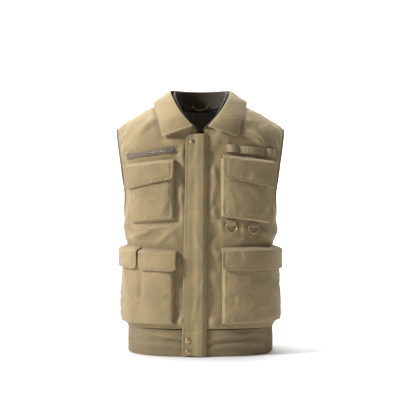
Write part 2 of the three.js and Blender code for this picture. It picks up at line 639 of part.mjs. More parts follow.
place('chest_zip_tape', sweep((t) => {
  const half = CHEST_ZIP.width / 2;
  return [
    [0, half], [CHEST_ZIP.tape, half], [CHEST_ZIP.tape, CHEST_ZIP.bead], [CHEST_ZIP.beadHeight + CHEST_ZIP.tape, CHEST_ZIP.bead],
    [CHEST_ZIP.beadHeight + CHEST_ZIP.tape, -CHEST_ZIP.bead], [CHEST_ZIP.tape, -CHEST_ZIP.bead],
    [CHEST_ZIP.tape, -half], [0, -half],
  ].map(([out, side]) => onZip(t, out, side));
}, 24, false), TAPE);

const chestSlider = sliderGeometry(CHEST_ZIP.bead, CHEST_ZIP.beadHeight + CHEST_ZIP.tape, CHEST_ZIP.tape + GAP);
const zipOut = onZip(CHEST_ZIP.sliderAt, 1, 0).sub(onZip(CHEST_ZIP.sliderAt, 0, 0)).normalize();
const zipMatrix = new THREE.Matrix4().makeBasis(zipAxis.clone().negate(), zipOut, zipOut.clone().cross(zipAxis))
  .setPosition(onZip(CHEST_ZIP.sliderAt, 0, 0));
place('chest_zip_slider', chestSlider.geometry, NICKEL, zipMatrix);
const chestPull = pullGeometry(PULL.chest, pullLift(chestSlider.top));
place('chest_zip_pull', chestPull, NICKEL, zipMatrix);

// ---- pockets and flaps ----
for (const pocket of POCKETS) {
  const { side, near, far, top, bottom, depth, seat } = pocket;
  const z = (u, v) => mix(mix(bottom[0], bottom[1], u), mix(top[0], top[1], u), v);
  const outside = sheet((u, v, face) =>
    cloth(side * mix(near, far, u), z(u, v), face ? depth : seat), 8, 3);
  const hollow = sheet((u, v, face) => {
    const reach = mix(near + FABRIC, far - FABRIC, u);
    const height = v === 1 ? z(u, 1) + 6 : z(u, v) + (1 - v) * FABRIC;
    return cloth(side * reach, height, face ? depth - FABRIC : SEAT - 3);
  }, 8, 3);
  place(pocket.name, geometryOf(solid(outside).subtract(solid(hollow))), KHAKI);
  const standOff = depth + 2 * PATCH.thick + 3 * PATCH.clearance;
  for (const flap of pocket.flaps) {
    const edge = (u) => mix(flap.bottom[0], flap.bottom[1], u);
    const root = (u) => mix(flap.top[0], flap.top[1], u);
    const reachAt = (u) => side * mix(flap.near, flap.far, u);
    place(flap.name, sheet((u, v, face) => {
      const below = v < 0.5 ? v * 2 * FLAP.rise : mix(FLAP.rise, root(u) - edge(u), v * 2 - 1);
      const lift = mix(SEAT, standOff, ease(clamp(below / FLAP.rise, 0, 1)));
      return cloth(reachAt(u), root(u) - below, lift + (face ? FLAP.thick : 0));
    }, 10, 6), KHAKI);
    if (flap.name === 'side_flap_right') continue;
    const middle = (flap.near + flap.far) / 2;
    const patch = (lift) => sheet((u, v, face) => {
      const low = mix(edge(0), edge(1), 0.5) + PATCH.fromEdge;
      return cloth(side * (middle + (2 * u - 1) * PATCH.halfWidth), low + v * PATCH.height,
        lift + (face ? PATCH.thick : 0));
    }, 5, 1);
    const label = flap.name.replace('flap_', '');
    place(`loop_patch_${label}`, patch(depth + PATCH.clearance), HOOK);
    place(`hook_patch_${label}`, patch(depth + 2 * PATCH.clearance + PATCH.thick), HOOK);
  }
}

// ---- tool loops: one strip of webbing stitched down between the loops ----
place('tool_loops', sheet((u, v, face) => {
  const first = LOOPS.stitches[0];
  const last = LOOPS.stitches.at(-1);
  const reach = mix(first - LOOPS.stitchWidth / 2, last + LOOPS.stitchWidth / 2, u);
  const gap = LOOPS.stitches.findIndex((s) => reach < s);
  const from = LOOPS.stitches[Math.max(gap - 1, 0)] + LOOPS.stitchWidth / 2;
  const to = LOOPS.stitches[gap < 0 ? 3 : gap] - LOOPS.stitchWidth / 2;
  const share = gap > 0 ? clamp((reach - from) / (to - from), 0, 1) : 0;
  const lift = SEAT + (LOOPS.standOff - SEAT) * Math.sin(Math.PI * share) ** 0.6;
  const top = LOOPS.top - LOOPS.fall * (reach - first);
  return cloth(reach, top - LOOPS.height * (1 - v), lift + (face ? LOOPS.thick : 0));
}, 28, 2), KHAKI_DARK);

// ---- D-rings hung in webbing tabs ----
function frameOn(reach, z) {
  const bearing = bearingOf(reach, z);
  const rise = riseAt(bearing, z);
  const out = normalAt(bearing, rise);
  const level = new THREE.Vector3(0, 0, 1).cross(out).normalize();
  const up = out.clone().cross(level);
  return new THREE.Matrix4().makeBasis(level, up, out).setPosition(onForm(bearing, rise));
}

const BAR_LIFT = SEAT + RING.webbing + RING.clearance + RING.wire;
RING_REACH.forEach((reach, i) => {
  const part = ['inner', 'outer'][i];
  const frame = frameOn(reach, RING_Z[i]);
  const nose = BAR_LIFT - SEAT;
  const height = RING.tabHeights[i];
  const tab = new THREE.Shape();
  tab.moveTo(SEAT, height);
  tab.lineTo(SEAT, 0);
  tab.absarc(BAR_LIFT, 0, nose, Math.PI, 2 * Math.PI, false);
  tab.lineTo(BAR_LIFT + nose, 1);
  tab.lineTo(SEAT + 2 * RING.webbing, nose + 4);
  tab.lineTo(SEAT + 2 * RING.webbing, height);
  const bore = new THREE.Path();
  bore.absarc(BAR_LIFT, 0, RING.wire + RING.clearance, 0, 2 * Math.PI, true);
  tab.holes.push(bore);
  const tabSolid = extrude(tab, RING.tabWidth);
  tabSolid.translate(0, 0, -RING.tabWidth / 2);
  tabSolid.applyMatrix4(new THREE.Matrix4().makeBasis(
    new THREE.Vector3(0, 0, 1), new THREE.Vector3(0, 1, 0), new THREE.Vector3(-1, 0, 0)));
  place(`ring_tab_${part}`, tabSolid, KHAKI_DARK, frame);

  const path = [];
  const arcSteps = 10;
  const barSteps = 4;
  for (let k = 0; k <= arcSteps; k++) {
    const angle = -Math.PI * k / arcSteps;
    path.push([RING.halfWidth * Math.cos(angle), -RING.neck + RING.halfWidth * Math.sin(angle)]);
  }
  for (let k = 0; k <= barSteps; k++) path.push([mix(-RING.halfWidth, RING.halfWidth, k / barSteps), 0]);
  place(`d_ring_${part}`, sweep((t) => {
    const k = Math.round(t * path.length);
    const here = path[k % path.length];
    const before = path[(k + path.length - 1) % path.length];
    const after = path[(k + 1) % path.length];
    const d1 = new THREE.Vector2(here[0] - before[0], here[1] - before[1]).normalize();
    const d2 = new THREE.Vector2(after[0] - here[0], after[1] - here[1]).normalize();
    const mid = d1.clone().add(d2).normalize();
    const widen = 1 / Math.max(mid.dot(d1), 0.6);
    return [0, 1, 2, 3, 4, 5, 6, 7].map((s) => {
      const a = s * Math.PI / 4;
      const side = RING.wire * Math.cos(a) * widen;
      return new THREE.Vector3(here[0] - mid.y * side, here[1] + mid.x * side,
        BAR_LIFT + RING.wire * Math.sin(a));
    });
  }, path.length, true), BRASS, frame);
});

export default vest;
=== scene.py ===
"""A padded fishing vest, worn and zipped up, dressed for a studio picture.

Sizes are in millimetres on the form and become metres when a mesh is made. The form is a
torso of rounded-square sections. Cloth is laid on it by reach, the distance round the body
from the centre front (positive towards the wearer's left), by height, and by lift, the
distance out from the form.
"""

import logging
import math
from dataclasses import dataclass, field
from enum import Enum
from typing import Callable, Optional, Sequence

import bmesh
import bpy
import numpy as np
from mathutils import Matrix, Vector

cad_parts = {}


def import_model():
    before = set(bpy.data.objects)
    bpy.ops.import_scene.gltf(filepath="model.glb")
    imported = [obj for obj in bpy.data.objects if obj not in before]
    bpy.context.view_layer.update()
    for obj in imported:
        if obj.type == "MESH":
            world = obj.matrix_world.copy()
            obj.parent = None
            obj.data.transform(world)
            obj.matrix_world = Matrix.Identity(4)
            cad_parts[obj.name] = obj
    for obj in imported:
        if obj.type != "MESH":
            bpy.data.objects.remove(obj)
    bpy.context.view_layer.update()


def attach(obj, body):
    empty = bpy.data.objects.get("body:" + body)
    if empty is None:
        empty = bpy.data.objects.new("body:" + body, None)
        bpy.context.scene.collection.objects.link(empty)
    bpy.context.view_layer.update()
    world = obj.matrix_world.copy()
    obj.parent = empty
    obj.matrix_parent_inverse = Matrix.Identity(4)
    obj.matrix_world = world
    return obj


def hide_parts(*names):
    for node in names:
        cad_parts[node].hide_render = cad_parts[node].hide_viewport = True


log = logging.getLogger("vest")
MM = 0.001
FULL_TURN = 2 * math.pi
MEAN_RADIUS = 200  # turns a bearing into a rough distance round the waist
Array = np.ndarray
Pair = tuple[float, float]
Triple = tuple[float, float, float]
Piece = bpy.types.Object
Socket = bpy.types.NodeSocket
Surface = Callable[[Array, Array], Array]  # points of a face from its shares across and up
Spot = Array  # bearing and rise, side by side


class Side(Enum):
    """Which side of the wearer a piece is on."""

    RIGHT = -1
    LEFT = 1


class Hold(Enum):
    """How a sheet of cloth is held."""

    STRETCHED = "stretched"
    GATHERED = "gathered"
    HUNG = "hung"
    FOLDED = "folded"


# ---- small numeric tools ----
def ease(t: Array) -> Array:
    """Smooth step from 0 to 1."""
    t = np.clip(t, 0, 1)
    return t * t * (3 - 2 * t)


def mix(a: Array, b: Array, t: Array) -> Array:
    """Straight blend from a to b."""
    return a + (b - a) * t


def unit(v: Array) -> Array:
    """Vectors scaled to length one."""
    return v / np.maximum(np.linalg.norm(v, axis=-1, keepdims=True), 1e-9)


def round_angles(count: int) -> Array:
    """Angles evenly spaced round a full turn."""
    return np.linspace(0, FULL_TURN, count, endpoint=False)


def grid_faces(rows: int, columns: int) -> tuple[Array, Array]:
    """Corner numbers of a grid.

    Args:
        rows: points up the grid.
        columns: points across it.

    Returns:
        The number of each point and the four corners of each face.
    """
    number = np.arange(rows * columns).reshape(rows, columns)
    corners = [number[:-1, :-1], number[:-1, 1:], number[1:, 1:], number[1:, :-1]]
    return number, np.stack(corners, -1).reshape(-1, 4)


def put(name: str, data: bpy.types.ID) -> Piece:
    """Puts a mesh, lamp or camera in the scene as an object."""
    made = bpy.data.objects.new(name, data)
    bpy.context.scene.collection.objects.link(made)
    return made


class Lattice:
    """Smooth repeatable noise over two coordinates, from -1 to 1."""

    def __init__(self, seed: int, cells: int = 64) -> None:
        """Fills the lattice.

        Args:
            seed: chooses the pattern.
            cells: how many cells before the pattern repeats.
        """
        self.cells = cells
        self.values = np.random.default_rng(seed).uniform(-1, 1, (cells, cells))

    def at(self, x: Array, y: Array) -> Array:
        """Noise value at each point.

        Args:
            x: first coordinate, one unit to a cell.
            y: second coordinate.

        Returns:
            Values from -1 to 1.
        """
        i, j = np.floor(x).astype(int), np.floor(y).astype(int)
        s, t = ease(x - i), ease(y - j)
        pick = lambda a, b: self.values[a % self.cells, b % self.cells]
        low = mix(pick(i, j), pick(i + 1, j), s)
        high = mix(pick(i, j + 1), pick(i + 1, j + 1), s)
        return mix(low, high, t)

    def creases(self, x: Array, y: Array) -> Array:
        """Thin ridges where the noise passes zero, with wandering direction."""
        wander = self.at(x * 0.5 + 7.3, y * 0.5 + 2.1)
        value = self.at(x + wander, y - wander)
        return (1 - np.abs(value)) ** 4


@dataclass(frozen=True)
class Fold:
    """One soft fold pressed into or out of the cloth, from one spot to another.

    reach and z give its two ends, width its half width and height how far it stands.
    """

    reach: Pair
    z: Pair
    width: float
    height: float

    def lift(self, reach: Array, z: Array) -> Array:
        """How far the fold lifts each point.

        Args:
            reach: distance round the body.
            z: height.

        Returns:
            Lift in millimetres.
        """
        dx, dz = self.reach[1] - self.reach[0], self.z[1] - self.z[0]
        length = math.hypot(dx, dz)
        t = ((reach - self.reach[0]) * dx + (z - self.z[0]) * dz) / length**2
        side = ((reach - self.reach[0]) * dz - (z - self.z[0]) * dx) / length
        bow = side + self.width * 0.7 * np.sin(math.pi * np.clip(t, 0, 1))
        taper = np.sin(math.pi * np.clip(t * 0.84 + 0.08, 0, 1)) ** 0.8
        beyond = np.exp(-((np.maximum(np.abs(t - 0.5) - 0.5, 0) * length / self.width) ** 2))
        return self.height * np.exp(-((bow / self.width) ** 2)) * taper * beyond


def grid_normals(points: Array) -> Array:
    """Direction out of a grid of points."""
    return unit(np.cross(np.gradient(points, axis=1), np.gradient(points, axis=0)))


def arcs(line: Array) -> Array:
    """Distance travelled along a line at each of its points."""
    return np.concatenate([[0.0], np.cumsum(np.linalg.norm(np.diff(line, axis=0), axis=1))])


class Curve:
    """A smooth line through points, read by its share of length."""

    def __init__(self, points: Sequence[Sequence[float]]) -> None:
        """Samples the line.

        Args:
            points: spots the line passes through, in order.
        """
        p = np.asarray(points, float)
        p = np.vstack([2 * p[0] - p[1], p, 2 * p[-1] - p[-2]])
        rows = []
        t = np.linspace(0, 1, 40, endpoint=False)[:, None]
        for a, b, c, d in zip(p, p[1:], p[2:], p[3:]):
            k = [math.sqrt(np.linalg.norm(q - r)) for q, r in ((b, a), (c, b), (d, c))]
            m1 = ((b - a) / k[0] - (c - a) / (k[0] + k[1]) + (c - b) / k[1]) * k[1]
            m2 = ((c - b) / k[1] - (d - b) / (k[1] + k[2]) + (d - c) / k[2]) * k[1]
            two, three = 2 * (b - c) + m1 + m2, 3 * (c - b) - 2 * m1 - m2
            rows.append(b + m1 * t + three * t**2 + two * t**3)
        self.line = np.vstack([*rows, p[-2:-1]])
        self.share = arcs(self.line) / arcs(self.line)[-1]

    def at(self, t: Array) -> Array:
        """Points at each share of the length."""
        return np.stack([np.interp(t, self.share, self.line[:, k]) for k in range(3)], axis=-1)


# ---- the form ----
@dataclass(frozen=True)
class Form:
    """The worn shape of the vest's outer face."""

    seam_y: float = 14
    square: float = 2.6
    waist_seam: float = 67
    blouse_z: float = 112
    waist_z: float = 240
    shoulder_z: float = 560
    half_width: tuple[float, float, float, float] = (190, 198, 190, 226)
    back_depth: tuple[float, float, float, float] = (128, 134, 126, 130)
    front_depth: Pair = (150, 108)
    ridge: tuple[float, float, float, float] = (655, 580, 219, 2.3)
    neck_half: float = 80
    neck_front_z: float = 560
    back_arch: float = 100
    back_drop: float = 18

    @property
    def front_arch(self) -> float:
        """Height of the front shoulder turn."""
        return self.ridge[0] - self.neck_front_z

    def station(self, sizes: Sequence[float], z: Array) -> Array:
        """A size that changes with height, from hem, blouse and waist to shoulder."""
        hem, blouse, waist, shoulder = sizes
        low = mix(hem, blouse, ease((z - self.waist_seam) / (self.blouse_z - self.waist_seam)))
        middle = mix(blouse, waist, ease((z - self.blouse_z) / (self.waist_z - self.blouse_z)))
        high = mix(waist, shoulder, ease((z - self.waist_z) / (self.shoulder_z - self.waist_z)))
        return np.where(z < self.blouse_z, low, np.where(z < self.waist_z, middle, high))

    def depth_in_front(self, z: Array) -> Array:
        """Depth of the front from the side seams."""
        share = np.minimum(z, self.neck_front_z) / self.neck_front_z
        return mix(self.front_depth[0], self.front_depth[1], share)

    def section(self, bearing: Array) -> tuple[Array, Array]:
        """Share of the half width and of the depth at a bearing."""
        c, s = np.cos(bearing), np.sin(bearing)
        r = (np.abs(c) ** self.square + np.abs(s) ** self.square) ** (-1 / self.square)
        return r * s, r * c

    def turn(self, across: Array, deep: Array) -> tuple[Array, Array]:
        """Height at which the shoulder starts to turn over, and the height of its arch."""
        top, end, reach, power = self.ridge
        x = np.abs(self.half_width[3] * across)
        arch = np.where(deep > 0, self.front_arch, self.back_arch)
        return top - (top - end) * (x / reach) ** power - arch, arch

    def point(self, bearing: Array, rise: Array) -> Array:
        """Point of the form.

        Args:
            bearing: angle from the centre front.
            rise: 0 at the hem, 1 where the shoulder starts to turn and 2 on its ridge.

        Returns:
            Points in millimetres.
        """
        across, deep = self.section(bearing)
        turn, arch = self.turn(across, deep)
        angle = np.maximum(rise - 1, 0) * math.pi / 2
        z = np.where(rise < 1, rise * turn, turn + arch * np.sin(angle))
        depth = np.where(deep > 0, self.depth_in_front(z), self.station(self.back_depth, z))
        y = self.seam_y - depth * deep * np.cos(angle)
        return np.stack([self.station(self.half_width, z) * across, y, z], axis=-1)

    def rise_at(self, bearing: Array, z: Array) -> Array:
        """Rise of the point at height z."""
        turn, arch = self.turn(*self.section(bearing))
        over = 1 + np.arcsin(np.clip((z - turn) / arch, 0, 1)) / (math.pi / 2)
        return np.where(z < turn, z / turn, over)

    def normal(self, bearing: Array, rise: Array) -> Array:
        """Direction straight out of the form."""
        e = 0.004
        across = self.point(bearing + e, rise) - self.point(bearing - e, rise)
        up = self.point(bearing, rise + e) - self.point(bearing, np.maximum(rise - e, 0))
        return unit(np.cross(across, up))

    def lifted(self, bearing: Array, rise: Array, lift: Array) -> Array:
        """Points held a given lift off the form."""
        out = self.normal(bearing, rise)
        return self.point(bearing, rise) + out * np.asarray(lift)[..., None]

    def bearing_of(self, reach: Array, z: Array) -> Array:
        """Bearing of each point that lies a given reach round the body at height z."""
        shape = np.broadcast(reach, z).shape
        reach, z = (np.broadcast_to(a, shape).ravel().astype(float) for a in (reach, z))
        levels = np.arange(z.min() - 4, z.max() + 4.1, 4.0)
        angles = np.linspace(0, math.pi, 361)
        a, h = np.meshgrid(angles, levels)
        p = self.point(a, self.rise_at(a, h))
        steps = np.linalg.norm(np.diff(p[..., :2], axis=1), axis=2)
        gone = np.concatenate([np.zeros((len(levels), 1)), np.cumsum(steps, axis=1)], axis=1)
        row = np.clip((z - levels[0]) / 4.0, 0, len(levels) - 1.001)
        low = row.astype(int)
        found = np.empty_like(z)
        for k in np.unique(low):
            own = low == k
            near = np.interp(np.abs(reach[own]), gone[k], angles)
            far = np.interp(np.abs(reach[own]), gone[k + 1], angles)
            found[own] = mix(near, far, row[own] - k)
        return (np.sign(reach) * found).reshape(shape)

    def cloth(self, reach: Array, z: Array, lift: Array) -> Array:
        """Points laid on the form by reach, height and lift."""
        bearing = self.bearing_of(reach, z)
        return self.lifted(bearing, self.rise_at(bearing, z), lift)

    # The neckline is an ellipse seen from above, through the neck points on the ridge.
    @property
    def neck_span(self) -> Pair:
        """Middle and half depth of the neckline ellipse."""
        sine = (self.back_arch - self.back_drop) / self.back_arch
        front = self.seam_y - self.front_depth[1]
        back = self.seam_y + self.back_depth[3] * math.sqrt(1 - sine**2)
        return (front + back) / 2, (back - front) / 2

    @property
    def neck_point(self) -> float:
        """Angle on the neck ellipse where it crosses the shoulder ridge."""
        middle, half = self.neck_span
        return math.acos(max(-1.0, min(1.0, (middle - self.seam_y) / half)))

    def neckline(self, angle: Array) -> tuple[Array, Array]:
        """Bearing and rise of the neckline at an angle of its ellipse."""
        middle, half = self.neck_span
        x = self.neck_half * np.sin(angle)
        y = middle - half * np.cos(angle) - self.seam_y
        across = np.abs(x) / self.half_width[3]
        deep = (1 - across**self.square) ** (1 / self.square)
        depth = np.where(y < 0, self.front_depth[1], self.back_depth[3])
        plain = np.arctan2(across, deep)
        bearing = np.where(x < 0, -1, 1) * np.where(y < 0, plain, math.pi - plain)
        cosine = np.clip(np.abs(y) / (depth * deep), 0, 1)
        return bearing, 1 + np.arccos(cosine) / (math.pi / 2)


FORM = Form()


# ---- finishes ----
@dataclass(frozen=True)
class Graph:
    """A node material being built."""

    material: bpy.types.Material

    @classmethod
    def start(cls, name: str) -> "Graph":
        """Makes an empty node material."""
        material = bpy.data.materials.new(name)
        material.use_nodes = True
        material.node_tree.nodes.clear()
        return cls(material)

    def node(self, kind: str, **settings: object) -> bpy.types.Node:
        """Adds a node.

        Args:
            kind: node type without its prefix.
            settings: plain properties; the inputs dict sets sockets by name.

        Returns:
            The node.
        """
        made = self.material.node_tree.nodes.new(f"ShaderNode{kind}")
        inputs = settings.pop("inputs", {})
        for key, value in settings.items():
            setattr(made, key, value)
        for key, value in inputs.items():
            made.inputs[key].default_value = value
        return made

    def join(self, source: Socket, target: Socket) -> None:
        """Links one socket to another."""
        self.material.node_tree.links.new(source, target)

    def math(self, operation: str, a: object, b: object = 0.0) -> Socket:
        """Adds a sum of two sockets or numbers.

        Args:
            operation: what is done with them.
            a: first socket or number.
            b: second socket or number.

        Returns:
            The result.
        """
        made = self.node("Math", operation=operation)
        for k, value in enumerate((a, b)):
            if isinstance(value, Socket):
                self.join(value, made.inputs[k])
            else:
                made.inputs[k].default_value = value
        return made.outputs[0]

    def noise(self, where: Socket, scale: float, detail: float) -> Socket:
        """Adds a noise.

        Args:
            where: place at which it is read.
            scale: how fine it is.
            detail: how many finer layers it has.

        Returns:
            Its value.
        """
        made = self.node("TexNoise", inputs={"Scale": scale, "Detail": detail, "Roughness": 0.6})
        self.join(where, made.inputs["Vector"])
        return made.outputs["Fac"]

    def tint(self, fac: Socket, stops: Sequence[tuple[float, Sequence[float]]]) -> Socket:
        """Adds a colour ramp.

        Args:
            fac: what drives it, from 0 to 1.
            stops: place and colour of each stop.

        Returns:
            Its colour.
        """
        made = self.node("ValToRGB")
        ramp = made.color_ramp
        while len(ramp.elements) < len(stops):
            ramp.elements.new(0.5)
        for element, (place, colour) in zip(ramp.elements, stops):
            element.position = place
            element.color = (*colour, 1)
        self.join(fac, made.inputs["Fac"])
        return made.outputs["Color"]

    def blend(self, fac: object, a: Socket, b: object, mode: str = "MIX") -> Socket:
        """Blends two colours.

        Args:
            fac: share of the second.
            a: first colour.
            b: second colour.
            mode: how they blend.

        Returns:
            The blended colour.
        """
        made = self.node("Mix", data_type="RGBA", blend_type=mode)
        for key, value in ((0, fac), (6, a), (7, b)):
            if isinstance(value, Socket):
                self.join(value, made.inputs[key])
            else:
                made.inputs[key].default_value = value
        return made.outputs[2]

    def close(self, colour: Socket, rough: Socket, height: Socket,
              depth: float, **surface: float) -> bpy.types.Material:
        """Ends the material in a principled surface.

        Args:
            colour: base colour.
            rough: roughness.
            height: bump height from 0 to 1.
            depth: bump distance in metres.
            surface: constant inputs of the surface by name.

        Returns:
            The finished material.
        """
        bump = self.node("Bump", inputs={"Strength": 0.9, "Distance": depth})
        self.join(height, bump.inputs["Height"])
        skin = self.node("BsdfPrincipled", inputs={k.replace("_", " "): v for k, v in surface.items()})
        self.join(colour, skin.inputs["Base Color"])
        self.join(rough, skin.inputs["Roughness"])
        self.join(bump.outputs["Normal"], skin.inputs["Normal"])
        out = self.node("OutputMaterial")
        self.join(skin.outputs["BSDF"], out.inputs["Surface"])
        return self.material


class Weave(Enum):
    """How the threads of a cloth lie."""

    TWILL = "diagonal ribs"
    PLAIN = "over and under"
    RIBBED = "straight ribs"


@dataclass(frozen=True)
class ClothFinish:
    """A woven cloth: mottled dye, slubs in the yarn, a weave and faded ridges."""

    name: str
    colour: Triple
    weave: Weave = Weave.TWILL
    threads: float = 900
    fade: float = 0.35
    mottle: float = 0.16
    sheen: float = 0.25
    relief: float = 0.00035

    def make(self) -> bpy.types.Material:
        """Builds the material.

        Returns:
            The finished material.
        """
        g = Graph.start(self.name)
        place = g.node("TexCoord")
        flat, room = place.outputs["UV"], place.outputs["Object"]
        shade = lambda k: tuple(c * k for c in self.colour)
        clouds = g.noise(room, 16, 4)
        slubs = g.node("Mapping", inputs={"Scale": (1.0, 9.0, 1.0)})
        g.join(flat, slubs.inputs["Vector"])
        yarn = g.noise(slubs.outputs["Vector"], 320, 3)
        fuzz = g.noise(room, 900, 2)
        body = g.tint(clouds, [(0.3, shade(1 - self.mottle)), (0.7, shade(1 + self.mottle))])
        fleck = g.tint(yarn, [(0.35, (0.86, 0.85, 0.84)), (0.65, (1.12, 1.12, 1.12))])
        body = g.blend(0.75, body, fleck, "MULTIPLY")
        ridge = g.node("NewGeometry").outputs["Pointiness"]
        worn = g.tint(ridge, [(0.49, (0, 0, 0)), (0.53, (1, 1, 1))])
        pale = tuple(min(1.0, c * 1.35 + 0.03) for c in self.colour)
        body = g.blend(g.math("MULTIPLY", worn, self.fade), body, (*pale, 1))
        height = self.threads_height(g, flat)
        height = g.math("ADD", g.math("MULTIPLY", height, 0.6), g.math("MULTIPLY", fuzz, 0.35))
        height = g.math("ADD", height, g.math("MULTIPLY", clouds, 0.3))
        rough = g.math("ADD", g.math("MULTIPLY", yarn, 0.2), 0.76)
        return g.close(body, rough, height, self.relief, Sheen_Weight=self.sheen, Sheen_Roughness=0.5,
                       Specular_IOR_Level=0.25)

    def threads_height(self, g: Graph, flat: Socket) -> Socket:
        """Adds the weave.

        Args:
            g: the material being built.
            flat: flat place on the cloth.

        Returns:
            Its height.
        """
        turn = {Weave.TWILL: (math.radians(58),), Weave.RIBBED: (0.0,), Weave.PLAIN: (0.0, math.pi / 2)}
        waves = []
        for angle in turn[self.weave]:
            spin = g.node("Mapping", inputs={"Rotation": (0.0, 0.0, angle)})
            g.join(flat, spin.inputs["Vector"])
            wave = g.node("TexWave", inputs={"Scale": self.threads / 20, "Distortion": 0.6, "Detail": 1.0,
                                             "Detail Scale": 3.0})
            g.join(spin.outputs["Vector"], wave.inputs["Vector"])
            waves.append(wave.outputs["Fac"])
        return waves[0] if len(waves) == 1 else g.math("MAXIMUM", waves[0], waves[1])


@dataclass(frozen=True)
class MetalFinish:
    """A plated metal with fine scratches, darker random patches and bright worn edges."""

    name: str
    colour: Triple
    dark: Triple
    rough: float = 0.3

    def make(self) -> bpy.types.Material:
        """Builds the material.

        Returns:
            The finished material.
        """
        g = Graph.start(self.name)
        room = g.node("TexCoord").outputs["Object"]
        clouds = g.noise(room, 420, 5)
        streak = g.node("Mapping", inputs={"Scale": (1.0, 1.0, 14.0)})
        g.join(room, streak.inputs["Vector"])
        scratches = g.noise(streak.outputs["Vector"], 700, 4)
        body = g.tint(clouds, [(0.35, self.dark), (0.62, self.colour)])
        worn = g.tint(g.node("NewGeometry").outputs["Pointiness"], [(0.5, (0, 0, 0)), (0.6, (1, 1, 1))])
        bright = tuple(min(1.0, c * 1.3) for c in self.colour)
        body = g.blend(g.math("MULTIPLY", worn, 0.6), body, (*bright, 1))
        rough = g.math("ADD", g.math("MULTIPLY", scratches, 0.25), self.rough - 0.1)
        return g.close(body, rough, scratches, 0.00006, Metallic=1.0)


KHAKI = ClothFinish("khaki_twill", (0.298, 0.227, 0.118))
# A darker copy of the khaki that paints in the shade the waistband lies in under the bloused body; it is also
# used for the armhole bindings and the underfly.
KHAKI_PAINTED_SHADE = ClothFinish("khaki_twill_painted_shade", (0.220, 0.168, 0.088))
WEBBING = ClothFinish("khaki_webbing", (0.28, 0.222, 0.125), Weave.RIBBED, 520, 0.4, 0.1)
LINING = ClothFinish("dark_lining", (0.060, 0.050, 0.034), Weave.PLAIN, 1300, 0.05, 0.1, 0.12, 0.0002)
POCKETING = ClothFinish("pocketing", (0.26, 0.22, 0.15), Weave.PLAIN, 1100, 0.1, 0.08, 0.1)
TAPE = ClothFinish("zip_tape_weave", (0.20, 0.155, 0.125), Weave.RIBBED, 1100, 0.2, 0.08, 0.15)
# Thread colour: partly the thread's own colour and partly painted shade, darkened to stand in for the shadow
# lines along the stitching.
THREAD_WITH_PAINTED_SHADE = ClothFinish("khaki_thread_painted_shade", (0.19, 0.15, 0.088), Weave.RIBBED, 2600, 0.1, 0.06, 0.3, 0.0001)
HOOKS = ClothFinish("hook_and_loop", (0.17, 0.13, 0.08), Weave.PLAIN, 700, 0.3, 0.2, 0.3, 0.0006)
BRASS = MetalFinish("antique_brass", (0.66, 0.47, 0.26), (0.30, 0.20, 0.11), 0.38)
NICKEL = MetalFinish("nickel_plate", (0.72, 0.70, 0.66), (0.45, 0.43, 0.40), 0.26)
TEETH = MetalFinish("zip_teeth_metal", (0.50, 0.43, 0.34), (0.28, 0.22, 0.16), 0.36)


# ---- making meshes ----
def spread(length: float, cell: float, hem: float = 1.6) -> Array:
    """Shares from 0 to 1, even in the middle and close together at both ends."""
    middle = np.linspace(hem * 2.4, length - hem * 2.4, max(int(length / cell), 3))
    return np.concatenate([[0, hem], middle, [length - hem, length]]) / length


@dataclass
class Dresser:
    """Puts each finished piece in the scene on its body."""

    materials: dict[str, bpy.types.Material] = field(default_factory=dict)
    count: int = 0

    def material(self, finish: ClothFinish | MetalFinish) -> bpy.types.Material:
        """The material of a finish, made once."""
        if finish.name not in self.materials:
            self.materials[finish.name] = finish.make()
        return self.materials[finish.name]

    def mesh(self, name: str, points: Array, faces: Sequence[Sequence[int]],
             uv: Optional[Array] = None) -> Piece:
        """Makes an object.

        Args:
            name: name of the piece.
            points: corners in millimetres.
            faces: corner numbers of each face.
            uv: flat place of each corner in metres.

        Returns:
            The object, smooth shaded.
        """
        data = bpy.data.meshes.new(name)
        data.from_pydata((np.asarray(points) * MM).tolist(), [], [list(map(int, f)) for f in faces])
        layer = data.uv_layers.new(name="cut")
        corner = np.zeros(len(data.loops), int)
        data.loops.foreach_get("vertex_index", corner)
        flat = (np.asarray(points)[:, [0, 2]] * MM if uv is None else uv)[corner]
        layer.data.foreach_set("uv", flat.astype(np.float32).ravel())
        data.polygons.foreach_set("use_smooth", [True] * len(data.polygons))
        data.update()
        return put(name, data)

    def finish(self, piece: Piece, body: str, finish: ClothFinish | MetalFinish,
               replaced: Sequence[str] = (), smooth: int = 0) -> Piece:
        """Dresses a piece and hangs it on its body.

        Args:
            piece: the object.
            body: body that carries it.
            finish: its look.
            replaced: plain solids that it stands for.
            smooth: subdivision steps applied to its mesh.

        Returns:
            The same object.
        """
        piece.data.materials.append(self.material(finish))
        if smooth:
            bpy.context.view_layer.objects.active = piece
            piece.modifiers.new("smooth", "SUBSURF").levels = smooth
            with bpy.context.temp_override(object=piece, active_object=piece):
                bpy.ops.object.modifier_apply(modifier="smooth")
        if replaced:
            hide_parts(*replaced)
        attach(piece, body)
        self.count += 1
        log.info("%s: %d faces on %s", piece.name, len(piece.data.polygons), body)
        return piece


@dataclass(frozen=True)
class Calm:
    """Spots where the shell lies flat because something is sewn on it."""

    spots: Array
    radius: float = 17

    def share(self, points: Array) -> Array:
        """How freely each point may move, from 0 on a sewn spot to 1 away from it."""
        flat = points.reshape(-1, 3)
        near = np.full(len(flat), np.inf)
        for spot in self.spots:
            near = np.minimum(near, ((flat - spot) ** 2).sum(1))
        return ease((np.sqrt(near) - 3) / self.radius).reshape(points.shape[:-1])


